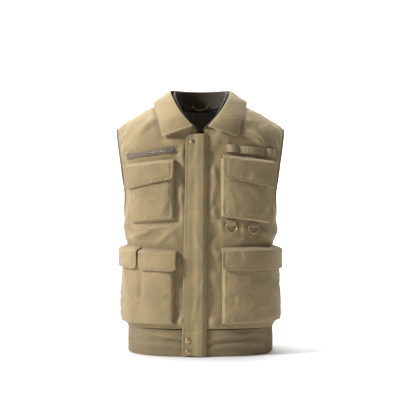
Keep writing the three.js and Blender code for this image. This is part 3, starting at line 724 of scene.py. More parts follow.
@dataclass(frozen=True)
class Slack:
    """Spare cloth that a sewn piece has inside its seams, which buckles it as it is worn.

    spare is the extra length, out and inward the furthest that a point may move, stiff how
    strongly the padding resists a sharp crease.
    """

    spare: float = 0.035
    out: float = 5.0
    inward: float = 1.2
    stiff: float = 1.0
    frames: int = 20
    scale: float = 0.01

    def settle(self, outer: Array, normal: Array, free: Array) -> Array:
        """Lets the cloth buckle by a cloth simulation that holds its seams.

        Args:
            outer: grid of points in millimetres.
            normal: direction out of the cloth at each.
            free: how freely each point may move, from 0 to 1.

        Returns:
            The grid after it has settled, with how far each point moved capped.
        """
        rows, columns = outer.shape[:2]
        number, quads = grid_faces(rows, columns)
        data = bpy.data.meshes.new("settling")
        data.from_pydata((outer.reshape(-1, 3) * self.scale).tolist(), [], quads.tolist())
        cloth = put("settling", data)
        seams = cloth.vertex_groups.new(name="seams")
        sides = (number[:2], number[-2:], number[:, :2], number[:, -2:])
        rim = np.concatenate([side.ravel() for side in sides])
        seams.add([int(k) for k in np.unique(rim)], 1.0, "REPLACE")
        made = cloth.modifiers.new("worn", "CLOTH")
        worn = made.settings
        worn.vertex_group_mass = "seams"
        worn.quality, worn.mass = 6, 0.08
        worn.tension_stiffness = worn.compression_stiffness = 30
        worn.shear_stiffness, worn.bending_stiffness = 12, self.stiff
        worn.tension_damping = worn.compression_damping = worn.shear_damping = 8
        worn.shrink_min = worn.shrink_max = -self.spare
        worn.effector_weights.gravity = 0
        made.collision_settings.use_collision = False
        made.point_cache.frame_start, made.point_cache.frame_end = 1, self.frames
        scene = bpy.context.scene
        for frame in range(1, self.frames + 1):
            scene.frame_set(frame)
        worn_mesh = cloth.evaluated_get(bpy.context.evaluated_depsgraph_get()).to_mesh()
        moved = np.empty(rows * columns * 3, np.float32)
        worn_mesh.vertices.foreach_get("co", moved)
        cloth.evaluated_get(bpy.context.evaluated_depsgraph_get()).to_mesh_clear()
        bpy.data.objects.remove(cloth)
        bpy.data.meshes.remove(data)
        scene.frame_set(1)
        change = moved.reshape(rows, columns, 3) / self.scale - outer
        lift = (change * normal).sum(-1, keepdims=True)
        across = change - lift * normal
        far = np.linalg.norm(across, axis=-1, keepdims=True)
        across = across * np.minimum(1, 2.0 / np.maximum(far, 1e-6))
        limit = np.where(lift > 0, self.out, self.inward)
        capped = limit * np.tanh(lift / limit)
        capped, across = capped * free[..., None], across * free[..., None]
        log.info("settled: mean lift %.2f mm, most %.2f mm", np.abs(capped).mean(), capped.max())
        return outer + across + capped * normal


@dataclass
class Panel:
    """One cut piece of cloth.

    surface gives its outer face for shares across and up; size is its rough width and height,
    thick its thickness and cell the spacing of its grid.
    """

    name: str
    surface: Surface
    size: Pair
    thick: float = 1.8
    cell: float = 4.6
    hold: Hold = Hold.STRETCHED
    pad: Optional[float] = None
    slack: Optional[Slack] = None
    calm: Optional[Calm] = None
    sewn: Optional[tuple[Array, Array, Array, Array]] = None

    def build(self, kit: Dresser, body: str, finish: ClothFinish, replaced: Sequence[str] = (),
              flip: bool = False, smooth: int = 1) -> Piece:
        """Makes the piece as one closed mesh with rounded edges.

        Args:
            kit: puts it in the scene.
            body: body that carries it.
            finish: its look.
            replaced: plain solids that it stands for.
            flip: True if across and up turn the other way about.
            smooth: subdivision steps.

        Returns:
            The object.
        """
        across, up = spread(self.size[0], self.cell), spread(self.size[1], self.cell)
        u, v = np.meshgrid(across, up)
        outer = self.surface(u, v)
        way = -1 if flip else 1
        normal = grid_normals(outer) * way
        if self.slack:
            free = self.calm.share(outer) if self.calm else np.ones(outer.shape[:2])
            outer = self.slack.settle(outer, normal, free)
            normal = grid_normals(outer) * way
        self.sewn = (across, up, outer, normal)
        inner = outer - normal * self.thick
        rows, columns = u.shape
        number, quads = grid_faces(rows, columns)
        total = rows * columns
        rim = np.concatenate([number[0, :], number[1:, -1], number[-1, -2::-1], number[-2:0:-1, 0]])
        after = np.roll(rim, -1)
        walls = np.stack([rim, rim + total, after + total, after], -1)
        faces = np.concatenate([quads, quads[:, ::-1] + total, walls])
        if flip:
            faces = faces[:, ::-1]
        wide = np.stack([arcs(row) for row in outer])
        tall = np.stack([arcs(column) for column in outer.transpose(1, 0, 2)], 1)
        uv = np.stack([wide, tall], -1).reshape(-1, 2) * MM
        made = kit.mesh(self.name, np.concatenate([outer.reshape(-1, 3), inner.reshape(-1, 3)]), faces,
                        np.concatenate([uv, uv]))
        kit.finish(made, body, finish, replaced, smooth)
        return made

    def line(self, start: Pair, end: Pair, lift: float = 0.2) -> Array:
        """A sewing line over the finished face, from one share to another.

        Args:
            start: shares across and up at its first end.
            end: shares at its other end.
            lift: how far it lies off the face.

        Returns:
            Its points and its outward directions.
        """
        across, up, outer, normal = self.sewn
        t = np.linspace(0, 1, 200)
        u, v = mix(start[0], end[0], t), mix(start[1], end[1], t)
        i = np.clip(np.searchsorted(across, u) - 1, 0, len(across) - 2)
        j = np.clip(np.searchsorted(up, v) - 1, 0, len(up) - 2)
        a = ((u - across[i]) / (across[i + 1] - across[i]))[:, None]
        b = ((v - up[j]) / (up[j + 1] - up[j]))[:, None]
        read = lambda w: mix(mix(w[j, i], w[j, i + 1], a), mix(w[j + 1, i], w[j + 1, i + 1], a), b)
        out = unit(read(normal))
        return np.stack([read(outer) + out * lift, out])


@dataclass(frozen=True)
class Thread:
    """Topstitching: short raised stitches laid end to end."""

    pitch: float = 3.6
    gap: float = 0.9
    half: float = 0.42
    sunk: float = 0.3

    def sew(self, kit: Dresser, name: str, body: str, lines: Sequence[Array]) -> Piece:
        """Sews along lines.

        Args:
            kit: puts the stitches in the scene.
            name: name of the run of stitches.
            body: body that carries them.
            lines: for each line its points and its outward directions.

        Returns:
            One object that holds every stitch.
        """
        points, faces = [], []
        for line, out in lines:
            gone = arcs(line)
            total = int(gone[-1] / self.pitch)
            starts = np.arange(total) * self.pitch + self.gap / 2
            read = lambda s, w: np.stack([np.interp(s, gone, w[:, k]) for k in range(3)], -1)
            a, b = read(starts, line), read(starts + self.pitch - self.gap, line)
            up = unit(read(starts + self.pitch / 2, out))
            side = unit(np.cross(b - a, up)) * self.half
            m = read(starts + self.pitch / 2, line)
            crown, under = up * self.half, up * self.sunk
            corners = np.stack([a - under, m + side, m + crown, m - side, m - crown, b - under], 1)
            for k in range(total):
                n = len(points) * 6
                points.append(corners[k])
                faces += [(n, n + p + 1, n + (p + 1) % 4 + 1) for p in range(4)]
                faces += [(n + 5, n + (p + 1) % 4 + 1, n + p + 1) for p in range(4)]
        made = kit.mesh(name, np.concatenate(points), faces)
        # The stitches take the thread colour, darkened as painted shade along the stitch lines.
        return kit.finish(made, body, THREAD_WITH_PAINTED_SHADE)


def ring_mesh(sections: Array, closed: bool) -> tuple[Array, list[tuple[int, ...]]]:
    """Skins a row of equal sections.

    Args:
        sections: corners of each section, in order along the piece.
        closed: True if the last section joins the first.

    Returns:
        Points and faces.
    """
    rows, sides = sections.shape[:2]
    faces = []
    for k in range(rows if closed else rows - 1):
        n = (k + 1) % rows
        for s in range(sides):
            t = (s + 1) % sides
            faces.append((k * sides + s, k * sides + t, n * sides + t, n * sides + s))
    if not closed:
        faces.append(tuple(range(sides))[::-1])
        faces.append(tuple((rows - 1) * sides + s for s in range(sides)))
    return sections.reshape(-1, 3), faces


# ---- how the worn cloth moves ----
def pucker(along: Array, away: Array, wave: float = 10, height: float = 0.6, fade: float = 7) -> Array:
    """Small gathers that a sewn edge pulls into the cloth.

    Args:
        along: distance along the seam.
        away: distance from it.
        wave: spacing of the gathers.
        height: how far they stand.
        fade: distance over which they die out.

    Returns:
        Lift in millimetres.
    """
    wander = 0.8 * np.sin(along / 23.0) + 0.5 * np.sin(along / 7.9 + 1.3)
    return height * np.sin(FULL_TURN * along / wave + wander) * np.exp(-away / fade)


def groove(away: Array, depth: float = 0.9, width: float = 1.7) -> Array:
    """Lift of cloth drawn down along a row of stitches, by the distance from the row."""
    return -1.35 * depth * np.exp(-((away / width) ** 2))


def sewn_spots() -> Array:
    """Spots along everything sewn on the fronts: pockets, flaps, zip, loops, tabs and collar edge.

    Returns:
        Points in millimetres.
    """
    rows = [(-mix(60.0, 202.0, t), mix(521.0, 502.0, t)) for t in np.linspace(0, 1, 20)]
    rows += [(mix(60.0, 204.0, t), mix(525.0, 511.0, t)) for t in np.linspace(0, 1, 20)]
    rows += [(reach + a, z) for reach, top in ((78.5, 342), (136, 336)) for a in (-10, 0, 10)
             for z in range(300, top, 8)]
    for pocket in POCKETS:
        for t in np.linspace(0, 1, 16):
            wide = mix(pocket.near, pocket.far, t)
            rows.append((pocket.side.value * wide, mix(*pocket.bottom, t)))
            rows.append((pocket.side.value * wide, mix(*pocket.top, t)))
            for k, edge in enumerate((pocket.near, pocket.far)):
                rows.append((pocket.side.value * edge, mix(pocket.bottom[k], pocket.top[k], t)))
        for flap in pocket.flaps:
            rows += [(pocket.side.value * mix(flap.near, flap.far, t), mix(*flap.top, t))
                     for t in np.linspace(0, 1, 16)]
    reach, z = np.array(rows, float).T
    collar = Collar().edge_line.at(np.linspace(0, 1, 70))
    centre = CENTRE.at(np.repeat([-26.0, 12.0], 60), np.tile(np.linspace(70, 556, 60), 2), np.float64(0))
    return np.concatenate([FORM.cloth(reach, z, np.zeros_like(z)), collar, centre])


@dataclass(frozen=True)
class Drape:
    """Folds and creases of one stretch of cloth."""

    seed: int
    folds: tuple[Fold, ...] = ()
    roll: float = 2.2
    crease: float = 3.2
    scale: float = 62
    strength: float = 1.7

    def lift(self, x: Array, z: Array) -> Array:
        """Lift of the cloth at each spot.

        Args:
            x: distance across.
            z: distance up.

        Returns:
            Lift in millimetres.
        """
        noise = Lattice(self.seed)
        lift = self.roll * noise.at(x / self.scale, z / (self.scale * 0.7))
        lift = lift + self.crease * (noise.creases(x / self.scale + 31, z / self.scale + 17) - 0.25)
        lift = lift + 0.9 * (noise.creases(x / 21 + 5, z / 27 + 3) - 0.2) + 0.4 * noise.at(x / 11, z / 14)
        for fold in self.folds:
            lift = lift + self.strength * fold.lift(x, z)
        return lift


RIGHT_FRONT = Drape(3, (
    Fold((-188, -72), (288, 332), 8, 4.2), Fold((-150, -90), (316, 306), 6, -2.4),
    Fold((-120, -58), (262, 322), 7, 2.6), Fold((-60, -42), (430, 306), 9, 2.2),
    Fold((-82, -34), (548, 468), 10, 2.6), Fold((-160, -92), (556, 604), 10, 3.0),
    Fold((-140, -70), (534, 560), 7, -1.8), Fold((-200, -186), (336, 262), 8, 3.6),
    Fold((-50, -190), (108, 138), 10, 4.0), Fold((-36, -110), (98, 80), 8, 3.6),
    Fold((-196, -130), (96, 118), 8, 3.4), Fold((-60, -34), (236, 176), 7, 2.0),
))
LEFT_FRONT = Drape(11, (
    Fold((112, 160), (562, 530), 7, 3.8), Fold((150, 186), (318, 262), 7, 4.2),
    Fold((30, 50), (480, 396), 7, 2.4), Fold((34, 62), (366, 296), 8, 2.6),
    Fold((58, 186), (322, 292), 8, 3.2), Fold((60, 150), (300, 286), 6, -2.2),
    Fold((44, 74), (254, 208), 6, 1.8), Fold((50, 192), (104, 142), 10, 4.0),
    Fold((36, 116), (94, 78), 8, 3.6), Fold((198, 178), (334, 296), 8, 3.2),
    Fold((70, 140), (604, 584), 9, 2.4), Fold((40, 70), (540, 500), 6, 1.8),
))
BACK_DRAPE = Drape(23, (
    Fold((-150, -30), (520, 560), 11, 3.0), Fold((150, 30), (524, 556), 11, 3.0),
    Fold((-180, -60), (300, 330), 10, 3.2), Fold((184, 60), (310, 328), 10, 3.2),
    Fold((-120, 60), (200, 178), 11, 3.4), Fold((140, -20), (140, 158), 12, 3.6),
    Fold((-150, 40), (104, 96), 11, 4.2), Fold((-190, -150), (250, 130), 10, 2.8),
    Fold((190, 150), (240, 140), 10, 2.8), Fold((0, 20), (450, 250), 12, 2.2),
), 1.6, 1.8, 74)


@dataclass(frozen=True)
class Cut:
    """Edges shared by the body panels: side seam, armhole, neckline and centre front."""

    low_z: float = 67.3
    slot: float = 6
    armhole_bottom: float = 335
    widest_z: float = 420
    widest: float = math.radians(30)
    shoulder: float = math.radians(22)
    seam_share: float = 0.34
    turn_share: float = 0.56
    neck_share: float = 0.7
    shoulder_share: float = 0.3

    def side(self, v: Array, back: bool) -> Spot:
        """Follows the side seam up and round the armhole.

        Args:
            v: shares up.
            back: True for the back panel's edge.

        Returns:
            Bearing and rise.
        """
        away = 1 if back else -1
        seam = math.pi / 2 + away * 0.0014
        low, bottom = (float(FORM.rise_at(seam, z)) for z in (self.low_z, self.armhole_bottom))
        widest = float(FORM.rise_at(seam + away * self.widest, self.widest_z))
        turn = np.clip((v - self.seam_share) / (self.turn_share - self.seam_share), 0, 1)
        over = np.clip((v - self.turn_share) / (1 - self.turn_share), 0, 1)
        inset = np.where(v < self.turn_share, self.widest * np.sin(turn * math.pi / 2),
                         mix(self.widest, self.shoulder, ease(over)))
        rise = np.where(v < self.seam_share, mix(low, bottom, v / self.seam_share),
                        np.where(v < self.turn_share, mix(bottom, widest, turn**1.3), mix(widest, 2, over)))
        return np.stack([seam + away * inset, rise], -1)

    def centre(self, v: Array) -> Spot:
        """Follows the centre front up and round the neck to the shoulder.

        Args:
            v: shares up.

        Returns:
            Bearing and rise.
        """
        z = mix(self.low_z, FORM.neck_front_z, np.minimum(v / self.neck_share, 1))
        bearing = self.slot / FORM.depth_in_front(z)
        start = math.asin(self.slot / FORM.neck_half)
        angle = mix(start, FORM.neck_point, np.clip((v - self.neck_share) / (1 - self.neck_share), 0, 1))
        neck = np.stack(FORM.neckline(angle), -1)
        straight = np.stack([bearing, FORM.rise_at(bearing, z)], -1)
        return np.where((v <= self.neck_share)[..., None], straight, neck)

    @staticmethod
    def fill(low: Callable, top: Callable, near: Callable, far: Callable,
             u: Array, v: Array) -> tuple[Array, Array]:
        """Fills a panel between its four edges.

        Args:
            low: bottom edge by share across.
            top: top edge by share across.
            near: first side by share up.
            far: other side by share up.
            u: shares across.
            v: shares up.

        Returns:
            Bearing and rise.
        """
        zero, one = np.zeros_like(u), np.ones_like(u)
        s, t = u[..., None], v[..., None]
        spot = mix(low(u), top(u), t) + mix(near(v), far(v), s)
        spot = spot - mix(mix(low(zero), low(one), s), mix(top(zero), top(one), s), t)
        return spot[..., 0], spot[..., 1]

    def front(self, u: Array, v: Array) -> tuple[Array, Array]:
        """Lays out a front panel.

        Args:
            u: shares across, from the centre front.
            v: shares up.

        Returns:
            Bearing and rise.
        """
        one = np.ones_like(u)
        neck = np.stack([FORM.neckline(FORM.neck_point)[0] * one, 2 * one], -1)
        low = lambda s: mix(self.centre(0 * s), self.side(0 * s, False), s[..., None])
        top = lambda s: mix(neck, self.side(0 * s + 1, False), s[..., None])
        near = lambda t: np.where((t >= 1)[..., None], neck, self.centre(t))
        return self.fill(low, top, near, lambda t: self.side(t, False), u, v)

    def back(self, u: Array, v: Array) -> tuple[Array, Array]:
        """Lays out the back panel, from the wearer's left to the right.

        Args:
            u: shares across.
            v: shares up.

        Returns:
            Bearing and rise.
        """
        share = self.shoulder_share
        mirror = lambda spot: np.stack([FULL_TURN - spot[..., 0], spot[..., 1]], -1)
        point = FORM.neck_point + 1e-3

        def half_top(t: Array) -> Spot:
            """Follows half of the top edge: shoulder seam, then the back of the neck.

            Args:
                t: shares across the panel, up to one half.

            Returns:
                Bearing and rise.
            """
            one = np.ones_like(t)
            neck = np.stack([FORM.neckline(point)[0] * one, 2 * one], -1)
            seam = mix(self.side(one, True), neck, np.clip(t / share, 0, 1)[..., None])
            angle = mix(point, math.pi, np.clip((t - share) / (0.5 - share), 0, 1))
            return np.where((t <= share)[..., None], seam, np.stack(FORM.neckline(angle), -1))

        def half_low(t: Array) -> Spot:
            """Half of the bottom edge."""
            one = np.ones_like(t)
            middle = np.stack([math.pi * one, FORM.rise_at(math.pi, self.low_z) * one], -1)
            return mix(self.side(0 * t, True), middle, (2 * t)[..., None])

        def both(half: Callable, t: Array) -> Spot:
            """Joins half an edge to its mirror image.

            Args:
                half: one half of the edge.
                t: shares across the panel.

            Returns:
                Bearing and rise.
            """
            first, second = half(np.minimum(t, 0.5)), mirror(half(np.minimum(1 - t, 0.5)))
            return np.where((t <= 0.5)[..., None], first, second)

        return self.fill(lambda t: both(half_low, t), lambda t: both(half_top, t),
                         lambda t: self.side(t, True), lambda t: mirror(self.side(t, True)), u, v)


@dataclass
class BodyPanels:
    """The padded shell and its quilted lining: two fronts and a back.

    base is how far the shell lies off the form, blouse how far it bags out over the waistband and
    lining how far inside the lining lies. quilt is the distance between rows of quilting.
    """

    cut: Cut = Cut()
    base: float = 0.1
    blouse: float = 7.0
    blouse_height: float = 17
    lining: float = -7.4
    tuft: float = 1.5
    quilt: float = 46
    lining_thick: float = 3.2
    thread: Thread = Thread()
    calm: Calm = field(default_factory=lambda: Calm(sewn_spots()))

    def face(self, where: Callable, side: int, drape: Drape) -> Surface:
        """Outer face of a shell panel.

        Args:
            where: lays the panel out on the form.
            side: -1 to mirror it to the wearer's right.
            drape: its folds.

        Returns:
            The face.
        """
        def surface(u: Array, v: Array) -> Array:
            """Points of the face."""
            bearing, rise = where(u, v)
            bearing = bearing * side
            plain = FORM.point(bearing, rise)
            above = plain[..., 2] - FORM.waist_seam
            hem = ease(np.clip(above / 22, 0, 1))
            edge = ease(np.minimum(np.minimum(u, 1 - u) * 14, (1 - v) * 30))
            free = self.calm.share(plain)
            bag = np.exp(-(((above - self.blouse_height) / 15) ** 2))
            lift = drape.lift(plain[..., 0], plain[..., 2]) * edge * hem * free
            lift = lift + self.blouse * bag * edge * (0.3 + 0.7 * free)
            lift = lift + pucker(bearing * MEAN_RADIUS, above, 13, 1.1, 14)
            lift = lift + pucker(plain[..., 2], np.minimum(u, 1 - u) * 260, 12, 0.7, 9)
            return FORM.lifted(bearing, rise, np.maximum(self.base + lift, self.base - 0.7))
        return surface

    def quilted(self, where: Callable, side: int) -> Surface:
        """Face of a quilted lining panel, drawn in along crossing rows of stitches.

        Args:
            where: lays the panel out on the form.
            side: -1 to mirror it to the wearer's right.

        Returns:
            The face.
        """
        def surface(u: Array, v: Array) -> Array:
            """Points of the face."""
            bearing, rise = where(u, v)
            bearing = bearing * side
            x, z = bearing * 205, FORM.point(bearing, rise)[..., 2]
            row = lambda s: np.exp(-(((s / self.quilt) % 1 - 0.5) * self.quilt / 5) ** 2)
            rows = np.maximum(row(x + z), row(x - z))
            return FORM.lifted(bearing, rise, self.lining + self.tuft * rows)
        return surface

    def build(self, kit: Dresser) -> None:
        """Makes the panels and their topstitching.

        Args:
            kit: puts the pieces in the scene.
        """
        runs = []
        for side, drape in ((Side.RIGHT, RIGHT_FRONT), (Side.LEFT, LEFT_FRONT)):
            word, flip = side.name.lower(), side is Side.RIGHT
            front = Panel(f"front_{word}_twill", self.face(self.cut.front, side.value, drape), (240, 540),
                          slack=Slack(0.03), calm=self.calm)
            front.build(kit, "vest", KHAKI, [f"shell_front_{word}"], flip)
            lining = Panel(f"front_{word}_lining", self.quilted(self.cut.front, side.value), (240, 520),
                           self.lining_thick, 6, pad=0.3)
            lining.build(kit, "vest", LINING, [f"quilted_lining_front_{word}"], flip)
            runs.append(front.line((0.968, 0.35), (0.968, 0.985)))
            runs.append(front.line((0.04, 0.984), (0.96, 0.984)))
        back = Panel("back_twill", self.face(self.cut.back, 1, BACK_DRAPE), (560, 540), cell=5.4,
                     slack=Slack(0.025))
        back.build(kit, "vest", KHAKI, ["shell_back"])
        lining = Panel("back_lining", self.quilted(self.cut.back, 1), (520, 520), self.lining_thick, 6.5,
                       pad=0.3)
        lining.build(kit, "vest", LINING, ["quilted_lining_back"])
        for u in (0.016, 0.984):
            runs.append(back.line((u, 0.35), (u, 0.985)))
        self.thread.sew(kit, "body_topstitching", "vest", runs)


BAND_FOLDS = (
    Fold((18, 170), (40, 54), 5, 5.0), Fold((14, 120), (29, 38), 4, -3.8), Fold((26, 176), (20, 28), 6, 4.8),
    Fold((24, 90), (56, 50), 4, 2.8), Fold((100, 190), (14, 10), 4, -2.2),
)


@dataclass
class Waistband:
    """Waistband round the hem: plain fronts, gathered elastic sides and a plain back.

    front and back are the bearings where the elastic starts and ends; deepest and proudest limit
    its folds.
    """

    height: float = 66.7
    front: float = math.radians(54)
    back: float = math.radians(126)
    thick: float = 5.6
    slot: float = 6
    rib: float = 7.4
    elastic_rows: tuple[float, ...] = (14, 30, 46)
    deepest: float = -4.4
    proudest: float = 6
    thread: Thread = Thread()

    def band(self, side: int, start: float, end: float, ribs: float, seed: int) -> Surface:
        """Outer face of one stretch of the band.

        Args:
            side: -1 to mirror it to the wearer's right.
            start: bearing of its first end.
            end: bearing of its other end.
            ribs: how deep the gathers of the elastic are, 0 on a plain stretch.
            seed: chooses its creases.

        Returns:
            The face.
        """
        drape = Drape(seed, roll=1.0, crease=1.8, scale=44)
        share = 0.3 if ribs else 1

        def surface(u: Array, v: Array) -> Array:
            """Points of the face."""
            z = self.height * v
            first = self.slot / FORM.depth_in_front(z) if start == 0 else start + 0.001
            bearing = mix(first, end - 0.001, u)
            along = bearing * MEAN_RADIUS
            quiet = np.sin(math.pi * np.clip(v, 0, 1)) ** 0.5
            lift = -0.3 + 0.9 * drape.lift(along, z * 1.8) * quiet * (0.35 if ribs else 1)
            lift = lift + sum(fold.lift(along, z) for fold in BAND_FOLDS) * quiet * share
            lift = lift + pucker(along, self.height - z, 11, 0.7, 16) + pucker(along, z, 12, 0.5, 8)
            if ribs:
                wander = 0.9 * np.sin(along / 19) + 0.4 * np.sin(z / 11 + along / 13)
                wave = FULL_TURN * along / self.rib + wander
                held = np.prod([1 - 0.55 * np.exp(-(((z - row) / 3.0) ** 2)) for row in self.elastic_rows],
                               axis=0)
                lift = lift + ribs * (np.sin(wave) * 0.5 - 0.5) * held * quiet
            bulge = 1.2 * np.sin(math.pi * v) ** 0.7
            point = FORM.point(side * bearing, FORM.rise_at(bearing, z))
            out = FORM.normal(side * bearing, FORM.rise_at(bearing, z)) * np.array([1, 1, 0])
            point = point + unit(out) * (np.clip(lift, self.deepest, self.proudest) + bulge)[..., None]
            point[..., 2] = z
            return point
        return surface

    def build(self, kit: Dresser) -> None:
        """Makes the band and its rows of stitching.

        Args:
            kit: puts the pieces in the scene.
        """
        runs = []
        for side in Side:
            word, flip = side.name.lower(), side is Side.RIGHT
            # The front and side stretches take the darker khaki, which paints in the shade under the bloused
            # body.
            plain = Panel(f"band_front_{word}_twill", self.band(side.value, 0, self.front, 0, 5), (150, 66),
                          self.thick, 4, pad=0.3)
            plain.build(kit, "vest", KHAKI_PAINTED_SHADE, [f"waistband_front_{word}"], flip)
            elastic = self.band(side.value, self.front, self.back, 2.4, 6)
            gathered = Panel(f"band_side_{word}_gathers", elastic, (270, 66), self.thick - 1, 2.2, pad=0.3)
            gathered.build(kit, "vest", KHAKI_PAINTED_SHADE, [f"side_elastic_{word}"], flip)
            runs += [plain.line((0.01, v), (0.99, v)) for v in (0.09, 0.93)]
            runs += [gathered.line((0.01, v), (0.99, v)) for v in (0.09, 0.21, 0.45, 0.69, 0.93)]
        # The back of the band also takes the darker khaki with its painted shade.
        back = Panel("band_back_twill", self.band(1, self.back, FULL_TURN - self.back, 0, 7), (290, 66),
                     self.thick, 4.4, pad=0.3)
        back.build(kit, "vest", KHAKI_PAINTED_SHADE, ["waistband_back"])
        runs += [back.line((0.01, v), (0.99, v)) for v in (0.09, 0.93)]
        self.thread.sew(kit, "band_stitching", "vest", runs)


@dataclass
class Collar:
    """Turned-down collar: a dark-faced stand, a padded leaf and a hanger loop."""

    roll: Sequence[Triple] = (
        (19, -104, 577), (48, -88, 614), (66, -58, 651), (72, -22, 673),
        (64, 26, 681), (38, 60, 683), (0, 70, 683))
    front_edge: Sequence[Pair] = ((93, 552), (101, 588), (112, 625))
    back_edge: Sequence[Triple] = (
        (117, -8, 648), (108, 52, 642), (70, 113, 620), (0, 131, 606))
    leaf: float = 4.4
    stand: float = 3.6
    bulge: float = 7
    off_chest: float = 1.3
    hanger_z: float = 0.3
    hanger_ends: Pair = (0.455, 0.545)
    hanger_fall: float = 15
    hanger_section: Pair = (1.9, 0.9)
    thread: Thread = Thread()

    def __post_init__(self) -> None:
        """Lays out the roll line and the leaf's edge."""
        both = lambda half: [(-x, y, z) for x, y, z in half] + list(half[:-1])[::-1]
        self.roll_line = Curve(both(list(self.roll)))
        chest = []
        for x, z in self.front_edge:
            across = x / float(FORM.station(FORM.half_width, np.float64(z)))
            bearing = np.float64(math.atan2(across, (1 - across**FORM.square) ** (1 / FORM.square)))
            lift = np.float64(self.off_chest + self.leaf / 2)
            chest.append(tuple(FORM.lifted(bearing, FORM.rise_at(bearing, z), lift)))
        self.edge_line = Curve(both(chest + list(self.back_edge)))
        self.axis = np.array([0, FORM.neck_span[0], 0])

    def away(self, point: Array) -> Array:
        """Level direction out from the middle of the neck."""
        return unit((point - self.axis) * np.array([1, 1, 0]))

    def leaf_face(self, u: Array, v: Array) -> Array:
        """Outer face of the leaf, from the roll down to its edge."""
        roll = self.roll_line.at(u)
        away = self.away(roll)
        start = roll + away * (self.leaf / 2 + 0.6)
        middle = mix(start, self.edge_line.at(u), v[..., None])
        crown = self.bulge * np.sin(math.pi * np.clip(v, 0, 1)) ** 0.62
        along = u * 560
        soft = 0.9 * Lattice(31).at(along / 46, v * 2.2) + pucker(along, (1 - v) * 75, 14, 0.6, 12)
        quiet = np.sin(math.pi * np.clip(u, 0, 1)) ** 0.3
        hem = np.minimum((1 - v) * 92, np.minimum(u, 1 - u) * 600)
        crown = crown + groove(hem - 6.5, 1.0, 2.2) * ease(v * 8)
        point = middle + away * (crown + soft * quiet * np.sin(math.pi * v * 0.5) + self.leaf / 2)[..., None]
        return point

    def stand_face(self, u: Array, v: Array) -> Array:
        """Inner face of the stand, from the neck seam up to the roll."""
        start = math.asin(6 / FORM.neck_half)
        angle = mix(start, FULL_TURN - start, u)
        bearing, rise = FORM.neckline(np.where(angle > math.pi, angle - FULL_TURN, angle))
        seam = FORM.lifted(bearing, rise, np.full_like(u, -self.stand))
        seam = seam - self.away(seam) * 1.9
        roll = self.roll_line.at(1 - u)
        roll = roll - self.away(roll) * self.stand
        hollow = 1.6 * np.sin(math.pi * v) * np.sin(math.pi * u)
        point = mix(seam, roll, v[..., None])
        return point + self.away(point) * (hollow + 0.5 * Lattice(8).at(u * 22, v * 3) - 0.3)[..., None]

    def build(self, kit: Dresser) -> None:
        """Makes the stand, the leaf, its topstitching and the hanger loop.

        Args:
            kit: puts the pieces in the scene.
        """
        leaf = Panel("collar_leaf_twill", self.leaf_face, (600, 92), self.leaf - 0.4, 4.2, pad=0.35)
        leaf.build(kit, "vest", KHAKI, ["collar_leaf"], flip=True)
        stand = Panel("collar_stand_lining", self.stand_face, (430, 92), self.stand - 0.4, 4.6, pad=0.3)
        stand.build(kit, "vest", LINING, ["collar_stand"])
        ends = ((0.012, 0.05), (0.012, 0.92), (0.988, 0.92), (0.988, 0.05))
        runs = [leaf.line(a, b) for a, b in zip(ends, ends[1:])]
        self.thread.sew(kit, "collar_topstitching", "vest", runs)
        self.hanger(kit)

    def hanger(self, kit: Dresser) -> None:
        """Makes the hanger loop, which sags between its two sewn ends.

        Args:
            kit: puts it in the scene.
        """
        t = np.linspace(0, 1, 40)
        a, b = (self.stand_face(np.array([end]), np.array([self.hanger_z])) for end in self.hanger_ends)
        hang = np.sin(math.pi * t)
        path = mix(a, b, t[:, None])
        path[:, 1] -= 2.6 + 2 * hang
        path[:, 2] -= self.hanger_fall * hang**0.6
        turn = round_angles(12)
        out = np.array([0, -1.0, 0])
        across = unit(np.cross(unit(np.gradient(path, axis=0)), out))
        wide, thick = self.hanger_section
        section = path[:, None] + across[:, None] * (wide * np.cos(turn))[None, :, None]
        section = section + (out * (thick * np.sin(turn))[:, None])[None]
        points, faces = ring_mesh(section, False)
        kit.finish(kit.mesh("hanger_loop_cord", points, faces), "vest", WEBBING, ["hanger_loop"])


@dataclass
class ArmholeBinding:
    """Folded binding round one armhole."""

    side: Side
    cut: Cut = Cut()
    near: float = 1.9
    width: float = 5
    lip: float = 1.2
    inner: float = -11
    steps: int = 260
    gathers: int = 62

    def edge(self, t: Array) -> tuple[Array, Array, Array]:
        """Edge of the armhole.

        Args:
            t: shares of the way round.

        Returns:
            Points, directions out of the cloth and directions into the hole.
        """
        def spot(s: Array) -> Array:
            """Bearing and rise at a share of the loop."""
            s = s % 1
            front = self.cut.side(mix(self.cut.seam_share, 1, s * 2), False)
            back = self.cut.side(mix(1, self.cut.seam_share, (s - 0.5) * 2), True)
            return np.where((s > 0.5)[..., None], back, front)
        read = lambda s: FORM.point(self.side.value * spot(s)[..., 0], spot(s)[..., 1])
        here = spot(t)
        tangent = unit(read(t + 0.015) - read(t - 0.015))
        normal = FORM.normal(self.side.value * here[..., 0], here[..., 1])
        return read(t), normal, unit(np.cross(tangent, normal)) * self.side.value

    def build(self, kit: Dresser) -> None:
        """Makes the binding as a soft folded ring, drawn into small gathers.

        Args:
            kit: puts the pieces in the scene.
        """
        t = np.arange(self.steps) / self.steps
        here, normal, inward = self.edge(t)
        middle_lift, half_lift = self.inner / 2, self.lip - self.inner / 2
        turn = round_angles(16)
        soft = lambda a: np.sign(a) * np.abs(a) ** 0.6
        into = self.near + self.width / 2 + self.width / 2 * soft(np.cos(turn))
        lift = middle_lift + half_lift * soft(np.sin(turn))
        ripple = 0.35 * np.sin(t * FULL_TURN * self.gathers)[:, None] * np.cos(turn)[None, :]
        section = here[:, None] + inward[:, None] * (into[None] + ripple)[..., None]
        section = section + normal[:, None] * lift[None, :, None]
        points, faces = ring_mesh(section, True)
        word = self.side.name.lower()
        if self.side is Side.RIGHT:
            faces = [face[::-1] for face in faces]
        piece = kit.mesh(f"armhole_{word}_fold", points, faces)
        # The binding takes the darker khaki with its painted shade.
        kit.finish(piece, "vest", KHAKI_PAINTED_SHADE, [f"armhole_binding_{word}"])


